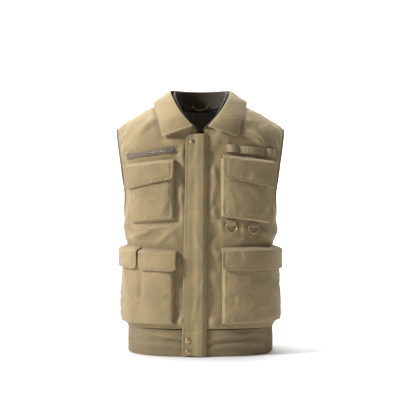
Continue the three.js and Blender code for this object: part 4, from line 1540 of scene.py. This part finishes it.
@dataclass(frozen=True)
class CentreLine:
    """The straight centre front, which leans back as it rises."""

    lean: float = math.atan(42 / 560)
    top: float = 559
    bottom: float = 2

    def at(self, x: Array, z: Array, lift: Array) -> Array:
        """Points beside the centre line: sideways, up and out."""
        y = FORM.seam_y - FORM.depth_in_front(z) - math.cos(self.lean) * lift
        x, y, z = np.broadcast_arrays(x, y, z + math.sin(self.lean) * lift)
        return np.stack([x, y, z], -1)

    def seam_x(self, z: Array) -> Array:
        """Where the storm flap is sewn down."""
        return mix(16, 19, z / self.top)

    def free_x(self, z: Array) -> Array:
        """Free edge of the storm flap."""
        return self.seam_x(z) - mix(63, 56, z / self.top)


CENTRE = CentreLine()


@dataclass
class StormFlap:
    """Padded flap over the zip, sewn on the wearer's left and snapped on the right.

    snaps gives each snap's name, height and distance from the free edge. ridge is how much the
    flap stands over the zip, and lowest and highest limit its outer face.
    """

    thick: float = 3.2
    stand: float = 8.6
    root: float = 4.2
    ridge: float = 3.2
    lowest: float = 3.0
    highest: float = 13.4
    corner: float = 13
    snaps: Sequence[tuple[str, float, float]] = (("top", 538, 17), ("waist", 40, 15), ("hem", 12, 16))
    cap: float = 7.4
    join_z: float = 366
    folds: Sequence[Fold] = (
        Fold((-22, 8), (66, 190), 5, 1.7), Fold((-8, 10), (90, 236), 4, -1.2),
        Fold((-24, -6), (420, 520), 6, 1.3), Fold((-26, 10), (360, 352), 4, 1.2),
        Fold((8, -16), (250, 330), 5, 1.2))
    thread: Thread = Thread()

    def face(self, u: Array, v: Array) -> Array:
        """Outer face.

        Args:
            u: shares across, from the free edge to the seam.
            v: shares up.

        Returns:
            Points in millimetres.
        """
        width = CENTRE.seam_x(v * CENTRE.top) - CENTRE.free_x(v * CENTRE.top)
        from_edge = u * width
        short = np.clip(1 - from_edge / self.corner, 0, 1)
        top = CENTRE.top - self.corner * (1 - np.sqrt(1 - short**2))
        z = mix(CENTRE.bottom, top, v)
        x = CENTRE.free_x(z) + u * width
        from_seam = CENTRE.seam_x(z) - x
        hill = ease((x + 20) / 14) * self.ridge
        lift = mix(self.root, self.stand + hill, ease(from_seam / 10))
        lift = lift - 1.0 * np.exp(-from_edge / 2.5)
        soft = Lattice(77)
        wave = 0.9 * soft.at(z / 44, u * 1.4) + 0.6 * soft.creases(z / 38 + 4, u * 1.2 + 3)
        edge = ease(np.minimum(from_edge, from_seam) / 9)
        wave = wave + sum(fold.lift(x, z) for fold in self.folds) * edge
        lift = lift + wave * (0.35 + 0.65 * edge) + pucker(z, from_edge, 13, 0.45, 9)
        lift = lift + pucker(z, np.abs(from_seam - 6), 11, 0.4, 5)
        lift = lift - 1.1 * np.exp(-((z - FORM.waist_seam) / 3.0) ** 2) * edge
        lift = lift - 0.9 * np.exp(-((z - self.join_z) / 2.4) ** 2)
        lift = lift + groove(from_edge - 6, 0.9, 1.8) + groove(from_seam - 7.5, 0.9, 1.8)
        for _, height, inset in self.snaps:
            away = np.hypot(z - height, x - CENTRE.free_x(height) - inset)
            lift = lift - 1.5 * np.exp(-((away / 11) ** 2))
        return CENTRE.at(x, z, np.clip(lift, self.lowest, self.highest))

    def build(self, kit: Dresser) -> None:
        """Makes the flap, its stitching and its snap caps.

        Args:
            kit: puts the pieces in the scene.
        """
        flap = Panel("storm_flap_twill", self.face, (60, 557), self.thick, 3.6, pad=0.3)
        flap.build(kit, "storm_flap", KHAKI, ["storm_flap"])
        runs = [flap.line((u, 0.008), (u, 0.985)) for u in (0.1, 0.86, 0.95)]
        runs.append(flap.line((0.1, 0.985), (0.86, 0.985)))
        self.thread.sew(kit, "storm_flap_topstitching", "storm_flap", runs)
        for word, z, inset in self.snaps:
            self.snap(kit, word, z, float(CENTRE.free_x(z)) + inset)

    def snap(self, kit: Dresser, word: str, z: float, x: float) -> None:
        """Makes one domed snap cap with a rolled rim and a ring stamped in its face.

        Args:
            kit: puts it in the scene.
            word: which snap.
            z: its height.
            x: its place across.
        """
        cap = self.cap
        profile = [(5.2, 7.2), (cap - 0.5, 7.9), (cap, 8.6), (cap - 0.2, 9.2), (cap - 0.8, 9.6),
                   (cap - 1.5, 9.7), (5.4, 9.5), (4.9, 9.9), (3.4, 10.4), (1.8, 10.7)]
        turn = round_angles(48)[:, None]
        across = np.array([1.0, 0, 0])
        down = np.array([0, -math.sin(CENTRE.lean), -math.cos(CENTRE.lean)])
        spots = np.stack([CENTRE.at(np.float64(x), np.float64(z), np.float64(lift))
                          + r * (np.cos(turn) * across + np.sin(turn) * down) for r, lift in profile])
        points, faces = ring_mesh(spots, False)
        kit.finish(kit.mesh(f"snap_{word}_dome", points, faces), "storm_flap", BRASS, [f"snap_cap_{word}"], 1)


@dataclass
class MainZip:
    """Zip down the centre front: two tapes, two rows of teeth and the fly under them."""

    bottom: float = 3
    top: float = 556
    pitch: float = 3.2
    tooth: Triple = (2.3, 1.3, 2.2)
    tape: Pair = (0.5, 5.6)
    fly: Pair = (-15.8, 3.8)
    fly_height: Pair = (68, 546)

    def build(self, kit: Dresser) -> None:
        """Makes the tapes, teeth and underfly.

        Args:
            kit: puts the pieces in the scene.
        """
        for side in Side:
            word, sign = side.name.lower(), side.value
            strip = Panel(f"main_zip_{word}_weave", self.tape_face(sign), (5, 553), 0.9, 5)
            strip.build(kit, "vest", TAPE, [f"zip_tape_{word}"], flip=sign < 0)
            out = np.array([0, -math.cos(CENTRE.lean), math.sin(CENTRE.lean)])
            first = self.bottom + (2.8 if sign > 0 else 4.4)
            heights = np.arange(first, self.top - 2, self.pitch)
            row = [(CENTRE.at(np.float64(sign * 1.35), z, np.float64(0.2)), np.array([1.0, 0, 0]), out)
                   for z in heights]
            teeth(kit, f"main_zip_{word}_teeth", "vest", row, self.tooth)
        fly = lambda u, v: CENTRE.at(mix(*self.fly, u), mix(*self.fly_height, v),
                                     -3.5 + 0.15 * np.sin(v * 60))
        # The underfly takes the darker khaki with its painted shade.
        under = Panel("underfly_twill", fly, (20, 478), 0.8, 5)
        under.build(kit, "vest", KHAKI_PAINTED_SHADE, ["underfly"])

    def tape_face(self, sign: int) -> Surface:
        """Outer face of the tape on one side of the centre line."""
        return lambda u, v: CENTRE.at(sign * mix(*self.tape, u), mix(self.bottom, self.top, v),
                                      -0.5 + 0.1 * u)


def teeth(kit: Dresser, name: str, body: str, places: Sequence[tuple[Array, Array, Array]],
          size: Triple) -> Piece:
    """Makes a row of moulded teeth with chamfered heads.

    Args:
        kit: puts the row in the scene.
        name: name of the row.
        body: body that carries it.
        places: for each tooth its middle, its direction across the tape and its direction out.
        size: width across, length along and height.

    Returns:
        One object that holds every tooth.
    """
    points, faces = [], []
    block = [(0, 1, 2, 3), (7, 6, 5, 4), (0, 4, 5, 1), (1, 5, 6, 2), (2, 6, 7, 3), (3, 7, 4, 0)]
    for middle, across, out in places:
        along = np.cross(out, across)
        for level, shrink in ((-0.5, 1.0), (0.5, 0.72)):
            for a, b in ((-1, -1), (1, -1), (1, 1), (-1, 1)):
                points.append(middle + across * a * shrink * size[0] / 2 + along * b * shrink * size[1] / 2
                              + out * level * size[2])
        n = len(points) - 8
        faces += [tuple(n + k for k in f)[::-1] for f in block]
    return kit.finish(kit.mesh(name, np.array(points), faces), body, TEETH)


@dataclass
class ChestZip:
    """Slanting chest zip on the wearer's right, along one arc."""

    inner: Pair = (66, 520)
    outer: Pair = (196, 503)
    width: float = 13
    lift: float = 3

    def __post_init__(self) -> None:
        """Finds the arc through the zip's two ends and middle."""
        at = lambda t: FORM.cloth(np.array([-mix(self.inner[0], self.outer[0], t)]),
                                  np.array([mix(self.inner[1], self.outer[1], t)]), np.array([self.lift]))[0]
        a, b, c = at(0.0), at(0.5), at(1.0)
        one, two = b - a, c - a
        cross = np.cross(one, two)
        self.axis = cross / np.linalg.norm(cross)
        self.middle = a + (np.cross(cross, one) * two.dot(two) + np.cross(two, cross) * one.dot(one)) \
            / (2 * cross.dot(cross))
        self.start = a - self.middle
        end = c - self.middle
        self.sweep = math.acos(self.start.dot(end) / self.start.dot(self.start))

    def arc(self, t: Array, out: Array, side: Array) -> Array:
        """Points beside the arc: share along it, out from it and across the tape."""
        angle = self.sweep * np.asarray(t)[..., None]
        arm = self.start * np.cos(angle) + np.cross(self.axis, self.start) * np.sin(angle)
        out, side = np.asarray(out)[..., None], np.asarray(side)[..., None]
        return self.middle + arm + unit(arm) * out + self.axis * side

    def build(self, kit: Dresser) -> None:
        """Makes the tape, its teeth, the pouch behind it and two rows of stitching along it.

        Args:
            kit: puts the pieces in the scene.
        """
        half = self.width / 2
        ripple = lambda u, v: 1.0 + 0.25 * np.sin(u * 70) * np.abs(2 * v - 1)
        face = lambda u, v: self.arc(u, ripple(u, v), mix(-half, half, 1 - v))
        away = lambda t: unit(self.arc(t, 1.0, 0.0) - self.arc(t, 0.0, 0.0))
        middle = np.meshgrid([0.4, 0.5, 0.6], [0.4, 0.5, 0.6])
        inward = grid_normals(face(*middle))[1, 1].dot(away(0.5)) < 0
        tape = Panel("chest_zip_weave", face, (132, 13), 0.9, 2.4)
        tape.build(kit, "vest", TAPE, ["chest_zip_tape"], flip=inward)
        row = [(self.arc(t, 1.7, 0.7 if k % 2 == 0 else -0.7), self.axis, away(t))
               for k, t in enumerate(np.arange(0.012, 0.99, 0.0115))]
        teeth(kit, "chest_zip_teeth", "vest", row, (2.0, 1.1, 1.5))
        bag = lambda u, v: FORM.cloth(-mix(172.0, 76.0, u), 387 + 110 * v, np.full_like(u, -3.7))
        pouch = Panel("chest_zip_pouch", bag, (96, 110), 0.7, 6, Hold.HUNG)
        pouch.build(kit, "vest", POCKETING, ["chest_zip_bag"])
        t = np.linspace(0.01, 0.99, 120)
        runs = []
        for s in (-half + 1.4, half - 1.4):
            line = self.arc(t, np.full_like(t, 1.25), np.full_like(t, s))
            runs.append(np.stack([line, unit(self.arc(t, 2 + 0 * t, s + 0 * t) - line)]))
        Thread(3.0, 0.7, 0.3).sew(kit, "chest_zip_stitching", "vest", runs)


@dataclass(frozen=True)
class FlapCut:
    """One pocket flap: its ends by reach, its root and its lower edge."""

    name: str
    near: float
    far: float
    top: Pair
    bottom: Pair
    patch: bool = True
    corner: float = 11


@dataclass
class Pocket:
    """A bellows patch pocket with its flaps, patches and stitching.

    near and far are its sides by reach, top and bottom the heights of its corners, depth how far
    it stands out and seat how far its sewn edge lies off the form.
    """

    name: str
    side: Side
    near: float
    far: float
    top: Pair
    bottom: Pair
    depth: float
    seat: float
    flaps: Sequence[FlapCut]
    drape: Drape
    cloth: float = 1.6
    turn: float = 7
    flap_thick: float = 2.4
    flap_rows: Pair = (2.6, 7.4)
    patch_size: Pair = (36, 16)
    row: float = 3
    rise: float = 10
    thread: Thread = Thread()

    def gusset(self, s: Array) -> tuple[Array, Array]:
        """How far in and how far out the cloth has gone at a distance from its sewn edge."""
        tall = self.wall
        t = np.clip(s / tall, 0, 1) * math.pi / 2
        return self.turn * (1 - np.cos(t)) + np.maximum(s - tall, 0), np.sin(t) ** 0.85

    @property
    def wall(self) -> float:
        """Cloth between the sewn edge and the edge of the front."""
        return self.depth * 1.12

    @property
    def flat(self) -> Pair:
        """Flat width and height of the bellows."""
        spare = 2 * (self.wall - self.turn)
        tall = (self.top[0] + self.top[1] - self.bottom[0] - self.bottom[1]) / 2
        return self.far - self.near + spare, tall + spare / 2

    def face(self, u: Array, v: Array) -> Array:
        """Outer face of the bellows: sides and bottom stand out from the vest."""
        wide, tall = self.flat
        left, lift_left = self.gusset(u * wide)
        right, lift_right = self.gusset((1 - u) * wide)
        low, lift_low = self.gusset(v * tall)
        half = u < 0.5
        reach = np.where(half, self.near + left, self.far - right)
        share = (reach - self.near) / (self.far - self.near)
        foot, head = mix(*self.bottom, share), mix(*self.top, share)
        z = foot + low * (head - foot) / (tall - self.wall + self.turn)
        full = np.where(half, lift_left, lift_right) * lift_low
        x = self.side.value * reach
        edge = np.minimum(np.minimum(u, 1 - u) * wide, v * tall)
        belly = groove(edge - self.wall - self.row, 0.9, 1.9)
        belly = belly + 0.9 * np.sin(math.pi * np.clip(v * 1.1, 0, 1)) * np.sin(math.pi * u)
        soft = self.drape.lift(x, z) * ease(edge / (self.depth * 1.6))
        soft = soft + pucker(u * wide + v * tall, np.abs(edge - self.depth), 15, 0.5, 9)
        lift = self.seat + (self.depth - 1.8 - self.seat) * full + (soft + belly) * full
        return FORM.cloth(x, z, np.clip(lift, self.seat, self.depth + 0.4))

    def flap_face(self, flap: FlapCut, seed: int) -> Surface:
        """Outer face of a flap, from its lower edge to its root."""
        stand = self.depth + 2 + 2.1
        def surface(u: Array, v: Array) -> Array:
            """Points of the face."""
            from_side = np.minimum(u, 1 - u) * (flap.far - flap.near)
            short = np.clip(1 - from_side / flap.corner, 0, 1)
            cut = flap.corner * (1 - np.sqrt(1 - short**2))
            root, edge = mix(*flap.top, u), mix(*flap.bottom, u) + cut
            below = (root - edge) * (1 - v)
            noise = Lattice(seed)
            x = self.side.value * mix(flap.near, flap.far, u)
            z = root - below
            lift = mix(0.9, stand, ease(below / self.rise)) + self.flap_thick
            soft = 0.9 * noise.at(x / 34, z / 26) + 0.7 * (noise.creases(x / 40 + 3, z / 34 + 9) - 0.2)
            low = z - edge
            hem = np.minimum(low, from_side)
            soft = soft * ease(below / 14) + pucker(x, low, 12, 0.5, 8) * ease(below / 12)
            row = groove(hem - self.flap_rows[1], 1.0, 1.9) * ease(below / 14)
            lift = lift + soft + row - 0.8 * np.exp(-hem / 2.2) * ease(below / 14)
            least = self.flap_thick + 0.9 + (stand - 1.4) * ease(below / self.rise)
            return FORM.cloth(x, z, np.maximum(lift, least))
        return surface

    def build(self, kit: Dresser) -> None:
        """Makes the bellows, flaps, patches and stitching.

        Args:
            kit: puts the pieces in the scene.
        """
        flip = self.side is Side.RIGHT
        wide, tall = self.flat
        bellows = Panel(f"{self.name}_twill", self.face, (wide, tall), self.cloth, 4.0,
                        slack=Slack(0.02, 1.6, 1.6, 0.6))
        bellows.build(kit, "vest", KHAKI, [self.name], flip)
        rim = self.wall + self.row
        a, b = rim / wide, rim / tall
        runs = [bellows.line((a, 0.99), (a, b)), bellows.line((a, b), (1 - a, b)),
                bellows.line((1 - a, b), (1 - a, 0.99))]
        self.thread.sew(kit, f"{self.name}_stitching", "vest", runs)
        for k, flap in enumerate(self.flaps):
            self.build_flap(kit, flap, 40 + 7 * k + int(self.near), flip)

    def build_flap(self, kit: Dresser, flap: FlapCut, seed: int, flip: bool) -> None:
        """Makes one flap with its double stitching and its hook and loop patches."""
        span = flap.far - flap.near
        drop = (sum(flap.top) - sum(flap.bottom)) / 2 + self.depth * 0.7
        piece = Panel(f"{flap.name}_twill", self.flap_face(flap, seed), (span, drop), self.flap_thick - 0.2,
                      3.6, pad=0.25, slack=Slack(0.02, 1.4, 0.5, 0.6))
        piece.build(kit, flap.name, KHAKI, [flap.name], flip)
        runs = []
        for inset in self.flap_rows:
            a, b = inset / span, inset / drop
            runs += [piece.line((a, 0.95), (a, b + 0.05)), piece.line((a + 0.02, b), (0.98 - a, b)),
                     piece.line((1 - a, b + 0.05), (1 - a, 0.95))]
        runs.append(piece.line((0.02, 0.97), (0.98, 0.97)))
        self.thread.sew(kit, f"{flap.name}_topstitching", flap.name, runs)
        if not flap.patch:
            return
        label = flap.name.replace("flap_", "")
        low = sum(flap.bottom) / 2 + 6
        middle = (flap.near + flap.far) / 2
        for word, lift, body in (("loop", self.depth + 1.6, "vest"), ("hook", self.depth + 3.3, flap.name)):
            fuzz = Lattice(seed + 3)
            wide, tall = self.patch_size
            face = lambda u, v, h=lift: FORM.cloth(self.side.value * (middle + (u - 0.5) * wide),
                                                   low + v * tall, h + 0.1 * fuzz.at(u * 60, v * 30))
            patch = Panel(f"{word}_tape_{label}", face, self.patch_size, 0.8, 1.8)
            patch.build(kit, body, HOOKS, [f"{word}_patch_{label}"], flip)


@dataclass
class ToolLoops:
    """A strip of webbing stitched down between its loops, on the wearer's left chest."""

    stitches: Sequence[float] = (65.6, 98, 166.5, 199)
    top: float = 533
    fall: float = 0.09
    height: float = 19
    thick: float = 1.6
    stand: float = 9.5
    stitch: float = 5

    def face(self, u: Array, v: Array) -> Array:
        """Outer face of the strip."""
        first, last = self.stitches[0], self.stitches[-1]
        reach = mix(first - self.stitch / 2, last + self.stitch / 2, u)
        share = np.zeros_like(reach)
        for a, b in zip(self.stitches, self.stitches[1:]):
            part = (reach - a - self.stitch / 2) / (b - a - self.stitch)
            share = np.where((part > 0) & (part < 1), part, share)
        lift = 0.9 + (self.stand - 0.9) * np.sin(math.pi * share) ** 0.6
        edge = 0.25 * np.sin(reach / 2.1) * np.abs(2 * v - 1) ** 3
        z = self.top - self.fall * (reach - first) - self.height * (1 - v)
        return FORM.cloth(reach, z, lift + self.thick + edge)

    def build(self, kit: Dresser) -> None:
        """Makes the strip and the bars of stitching between the loops.

        Args:
            kit: puts the pieces in the scene.
        """
        strip = Panel("tool_loop_webbing", self.face, (160, 19), self.thick, 1.6)
        strip.build(kit, "vest", WEBBING, ["tool_loops"])
        first, span = self.stitches[0] - self.stitch / 2, self.stitches[-1] - self.stitches[0] + self.stitch
        runs = []
        for s in self.stitches:
            for d in (-1.2, 1.2):
                runs.append(strip.line(((s + d - first) / span, 0.06), ((s + d - first) / span, 0.94)))
        Thread(2.6, 0.6, 0.42).sew(kit, "tool_loop_stitching", "vest", runs)


@dataclass
class RingTab:
    """A D-ring hung in a folded webbing tab."""

    word: str
    reach: float
    z: float
    tab_height: float
    wire: float = 1.6
    half: float = 13.9
    neck: float = 5
    width: float = 22.6
    webbing: float = 1.1
    bar: float = 4.0

    def __post_init__(self) -> None:
        """Finds the spot on the form and its directions level, up and out."""
        bearing = FORM.bearing_of(np.array([self.reach]), np.array([self.z]))
        rise = FORM.rise_at(bearing, self.z)
        self.base, self.out = FORM.point(bearing, rise)[0], FORM.normal(bearing, rise)[0]
        self.level = unit(np.cross([0, 0, 1.0], self.out))
        self.up = np.cross(self.out, self.level)

    def spot(self, across: float, up: float, out: float) -> Array:
        """Point at a distance across, up and out from the middle of the fold."""
        return self.base + self.level * across + self.up * up + self.out * out

    def arch(self, radius: float, angles: Array) -> list[Pair]:
        """Round stretch of the tab's outline about the ring's bar: up and out."""
        return [(radius * math.sin(t), self.bar + radius * math.cos(t)) for t in angles]

    def build(self, kit: Dresser) -> None:
        """Makes the webbing tab and the ring that hangs in it."""
        self.tab(kit)
        self.ring(kit)

    def tab(self, kit: Dresser) -> None:
        """Makes the tab: webbing folded over the ring's bar, with both ends sewn down.

        Args:
            kit: puts the pieces in the scene.
        """
        nose, hole = self.bar - 0.9, self.wire + 0.3
        turn = np.linspace(math.pi, FULL_TURN, 15)
        outer = [(self.tab_height, 0.9), (1.0, 0.9), *self.arch(nose, turn)]
        outer += [(1.5, self.bar + nose - 0.1), (nose + 4, 3.3), (self.tab_height, 3.2)]
        inner = [(self.tab_height, 2.0), (nose + 3, 2.0), (1.4, self.bar + hole - 0.5)]
        inner += [*self.arch(hole, turn[::-1]), (2.0, 2.05)]
        outline = outer + inner
        steps = np.linspace(-self.width / 2, self.width / 2, 19)
        section = np.stack([np.stack([self.spot(s, b, max(c + r, 0.85)) for b, c in outline])
                            for s, r in zip(steps, 0.08 * np.sin(steps * 2.4))])
        sides = len(outline)
        points, faces = ring_mesh(section, True)
        faces = faces[: (len(steps) - 1) * sides]
        for row in (0, len(steps) - 1):
            n = row * sides
            for k in range(max(len(outer), len(inner)) - 1):
                i, j = (n + min(m, len(outer) - 1) for m in (k, k + 1))
                p, q = (n + sides - 1 - min(m, len(inner) - 1) for m in (k, k + 1))
                face = list(dict.fromkeys([i, j, q, p]))
                if len(face) > 2:
                    faces.append(tuple(face if row else face[::-1]))
        tab = kit.mesh(f"ring_tab_{self.word}_webbing", points, faces)
        recalculate(tab)
        kit.finish(tab, "vest", WEBBING, [f"ring_tab_{self.word}"])

    def ring(self, kit: Dresser) -> None:
        """Makes the ring: round wire bent to a D, with its straight bar in the tab.

        Args:
            kit: puts the pieces in the scene.
        """
        half, wire = self.half, self.wire - 0.05
        path = [(half * math.cos(a), -self.neck - half * math.sin(a)) for a in np.linspace(0, math.pi, 33)]
        path += [(-half, -2.0), (-half + 0.6, -0.6), (-half + 2.0, 0.0)]
        path += [(x, 0.0) for x in np.linspace(-half + 4, half - 4, 9)]
        path += [(half - 2.0, 0.0), (half - 0.6, -0.6), (half, -2.0)]
        path = np.array(path)
        forward = unit(np.roll(path, -1, 0) - np.roll(path, 1, 0))
        side = np.stack([-forward[:, 1], forward[:, 0]], 1) * wire
        section = np.stack([np.stack([self.spot(*(p + d * math.cos(t)), self.bar + wire * math.sin(t))
                                      for t in round_angles(14)]) for p, d in zip(path, side)])
        ring = kit.mesh(f"ring_{self.word}_wire", *ring_mesh(section, True))
        recalculate(ring)
        kit.finish(ring, f"d_ring_{self.word}", BRASS, [f"d_ring_{self.word}"])


def recalculate(piece: Piece) -> None:
    """Turns every face of a closed mesh outward."""
    mesh = bmesh.new()
    mesh.from_mesh(piece.data)
    bmesh.ops.remove_doubles(mesh, verts=mesh.verts, dist=1e-7)
    bmesh.ops.recalc_face_normals(mesh, faces=mesh.faces)
    mesh.to_mesh(piece.data)
    mesh.free()


POCKETS = (
    Pocket("chest_pocket_right", Side.RIGHT, 66, 184, (486, 474), (343, 334), 15, 0.8,
           [FlapCut("chest_flap_right", 66, 190, (497, 487), (444, 418))],
           Drape(51, (Fold((-176, -84), (372, 352), 8, 1.8), Fold((-84, -96), (440, 356), 7, 1.4)),
                 1.0, 1.4, 44)),
    Pocket("chest_pocket_left", Side.LEFT, 52, 182, (497, 486), (349, 332), 15, 0.8,
           [FlapCut("chest_flap_left", 57, 190, (508, 495), (447, 422))],
           Drape(57, (Fold((120, 170), (424, 372), 8, 2.0), Fold((70, 84), (420, 360), 7, 1.4)),
                 1.0, 1.4, 44)),
    Pocket("lower_pocket_right", Side.RIGHT, 66, 232, (255, 262), (80, 80), 20, 3.3,
           [FlapCut("lower_flap_right", 59, 149, (266, 272), (211, 214)),
            FlapCut("side_flap_right", 154, 236, (273, 278), (215, 221), patch=False)],
           Drape(63, (Fold((-148, -152), (226, 110), 6, -2.2), Fold((-200, -96), (150, 112), 9, 2.0)),
                 1.2, 1.6, 50)),
    Pocket("lower_pocket_left", Side.LEFT, 54, 234, (238, 238), (80, 84), 20, 3.3,
           [FlapCut("lower_flap_left", 52, 237, (272, 276), (214, 214))],
           Drape(69, (Fold((80, 200), (176, 150), 10, 1.8), Fold((96, 180), (104, 124), 8, 1.8)),
                 1.2, 1.6, 50)),
)


@dataclass
class Studio:
    """Pale sweep of paper, soft key light from the left and the camera."""

    eye: Triple = (-0.001, -2.636, 0.392)
    lens: float = 90
    sensor: float = 36
    paper: Triple = (0.86, 0.86, 0.86)

    def sweep(self) -> None:
        """Makes the floor, curved up into a backdrop."""
        run = [(-3.2, 0.0), (1.6, 0.0)]
        run += [(1.6 + 1.2 * math.sin(a), 1.2 * (1 - math.cos(a))) for a in np.linspace(0.1, math.pi / 2, 14)]
        run += [(2.8, 4.2)]
        mesh = bpy.data.meshes.new("paper_sweep")
        corners = [(x, y, z - 0.0005) for y, z in run for x in (-4.0, 4.0)]
        mesh.from_pydata(corners, [], [(2 * k, 2 * k + 1, 2 * k + 3, 2 * k + 2) for k in range(len(run) - 1)])
        mesh.polygons.foreach_set("use_smooth", [True] * len(mesh.polygons))
        floor = put("paper_sweep", mesh)
        g = Graph.start("studio_paper")
        room = g.node("TexCoord").outputs["Object"]
        grain = g.noise(room, 260, 4)
        body = g.tint(g.noise(room, 1.3, 2), [(0.3, tuple(c * 0.985 for c in self.paper)), (0.7, self.paper)])
        rough = g.math("ADD", g.math("MULTIPLY", grain, 0.1), 0.85)
        floor.data.materials.append(g.close(body, rough, grain, 0.0001))

    def lamp(self, name: str, where: Sequence[float], aim: Sequence[float], size: float,
             power: float) -> None:
        """Adds one soft box.

        Args:
            name: name of the lamp.
            where: its place.
            aim: the spot that it faces.
            size: its side.
            power: watts.
        """
        data = bpy.data.lights.new(name, "AREA")
        data.shape, data.size, data.energy = "SQUARE", size, power
        lamp = put(name, data)
        lamp.location = where
        lamp.rotation_euler = (Vector(aim) - Vector(where)).to_track_quat("-Z", "Y").to_euler()

    def build(self) -> None:
        """Sets up the floor, the lights and the camera."""
        self.sweep()
        self.lamp("key_softbox", (-1.95, -0.92, 1.6), (0, 0, 0.42), 0.55, 70)
        self.lamp("fill_softbox", (1.9, -3.0, 0.9), (0, 0, 0.35), 1.8, 2)
        self.lamp("top_softbox", (-0.4, 0.1, 2.6), (0, 0.0, 0.3), 1.2, 24)
        self.lamp("backdrop_softbox", (0, 0.9, 2.6), (0, 2.6, 1.0), 2.4, 150)
        world = bpy.data.worlds.new("studio_air")
        world.use_nodes = True
        world.node_tree.nodes["Background"].inputs["Color"].default_value = (1, 1, 1, 1)
        world.node_tree.nodes["Background"].inputs["Strength"].default_value = 0.10
        bpy.context.scene.world = world
        data = bpy.data.cameras.new("camera")
        data.lens, data.sensor_width, data.clip_start = self.lens, self.sensor, 0.05
        data.dof.use_dof = False
        camera = put("camera", data)
        camera.location = self.eye
        camera.rotation_euler = (math.pi / 2, 0, 0)
        bpy.context.scene.camera = camera
        bpy.context.scene.view_settings.view_transform = "Standard"


def polish(kit: Dresser) -> None:
    """Gives the metal pieces that keep their plain shape their finish."""
    plated = [f"{zip_name}_{part}" for zip_name in ("main_zip", "chest_zip") for part in ("slider", "pull")]
    studs = [f"snap_stud_{word}" for word in ("top", "waist", "hem")]
    for name, finish in [(name, NICKEL) for name in plated] + [(name, BRASS) for name in studs]:
        node = bpy.data.objects[name]
        node.data.materials.clear()
        node.data.materials.append(kit.material(finish))
        log.info("%s: finished in %s", name, finish.name)


def main() -> None:
    """Builds every part of the vest in order and the studio round it."""
    logging.basicConfig(level=logging.INFO, format="%(name)s %(message)s")
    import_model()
    kit = Dresser()
    bindings = [ArmholeBinding(side) for side in Side]
    tabs = RingTab("inner", 78.5, 329, 13), RingTab("outer", 136, 326, 9.5)
    for part in (BodyPanels(), Waistband(), Collar(), *bindings, MainZip(), StormFlap(), ChestZip(), *POCKETS,
                 ToolLoops(), *tabs):
        part.build(kit)
        log.info("%s done", type(part).__name__)
    polish(kit)
    Studio().build()
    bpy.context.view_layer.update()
    log.info("%d pieces dressed", kit.count)


if __name__ == "__main__":
    main()
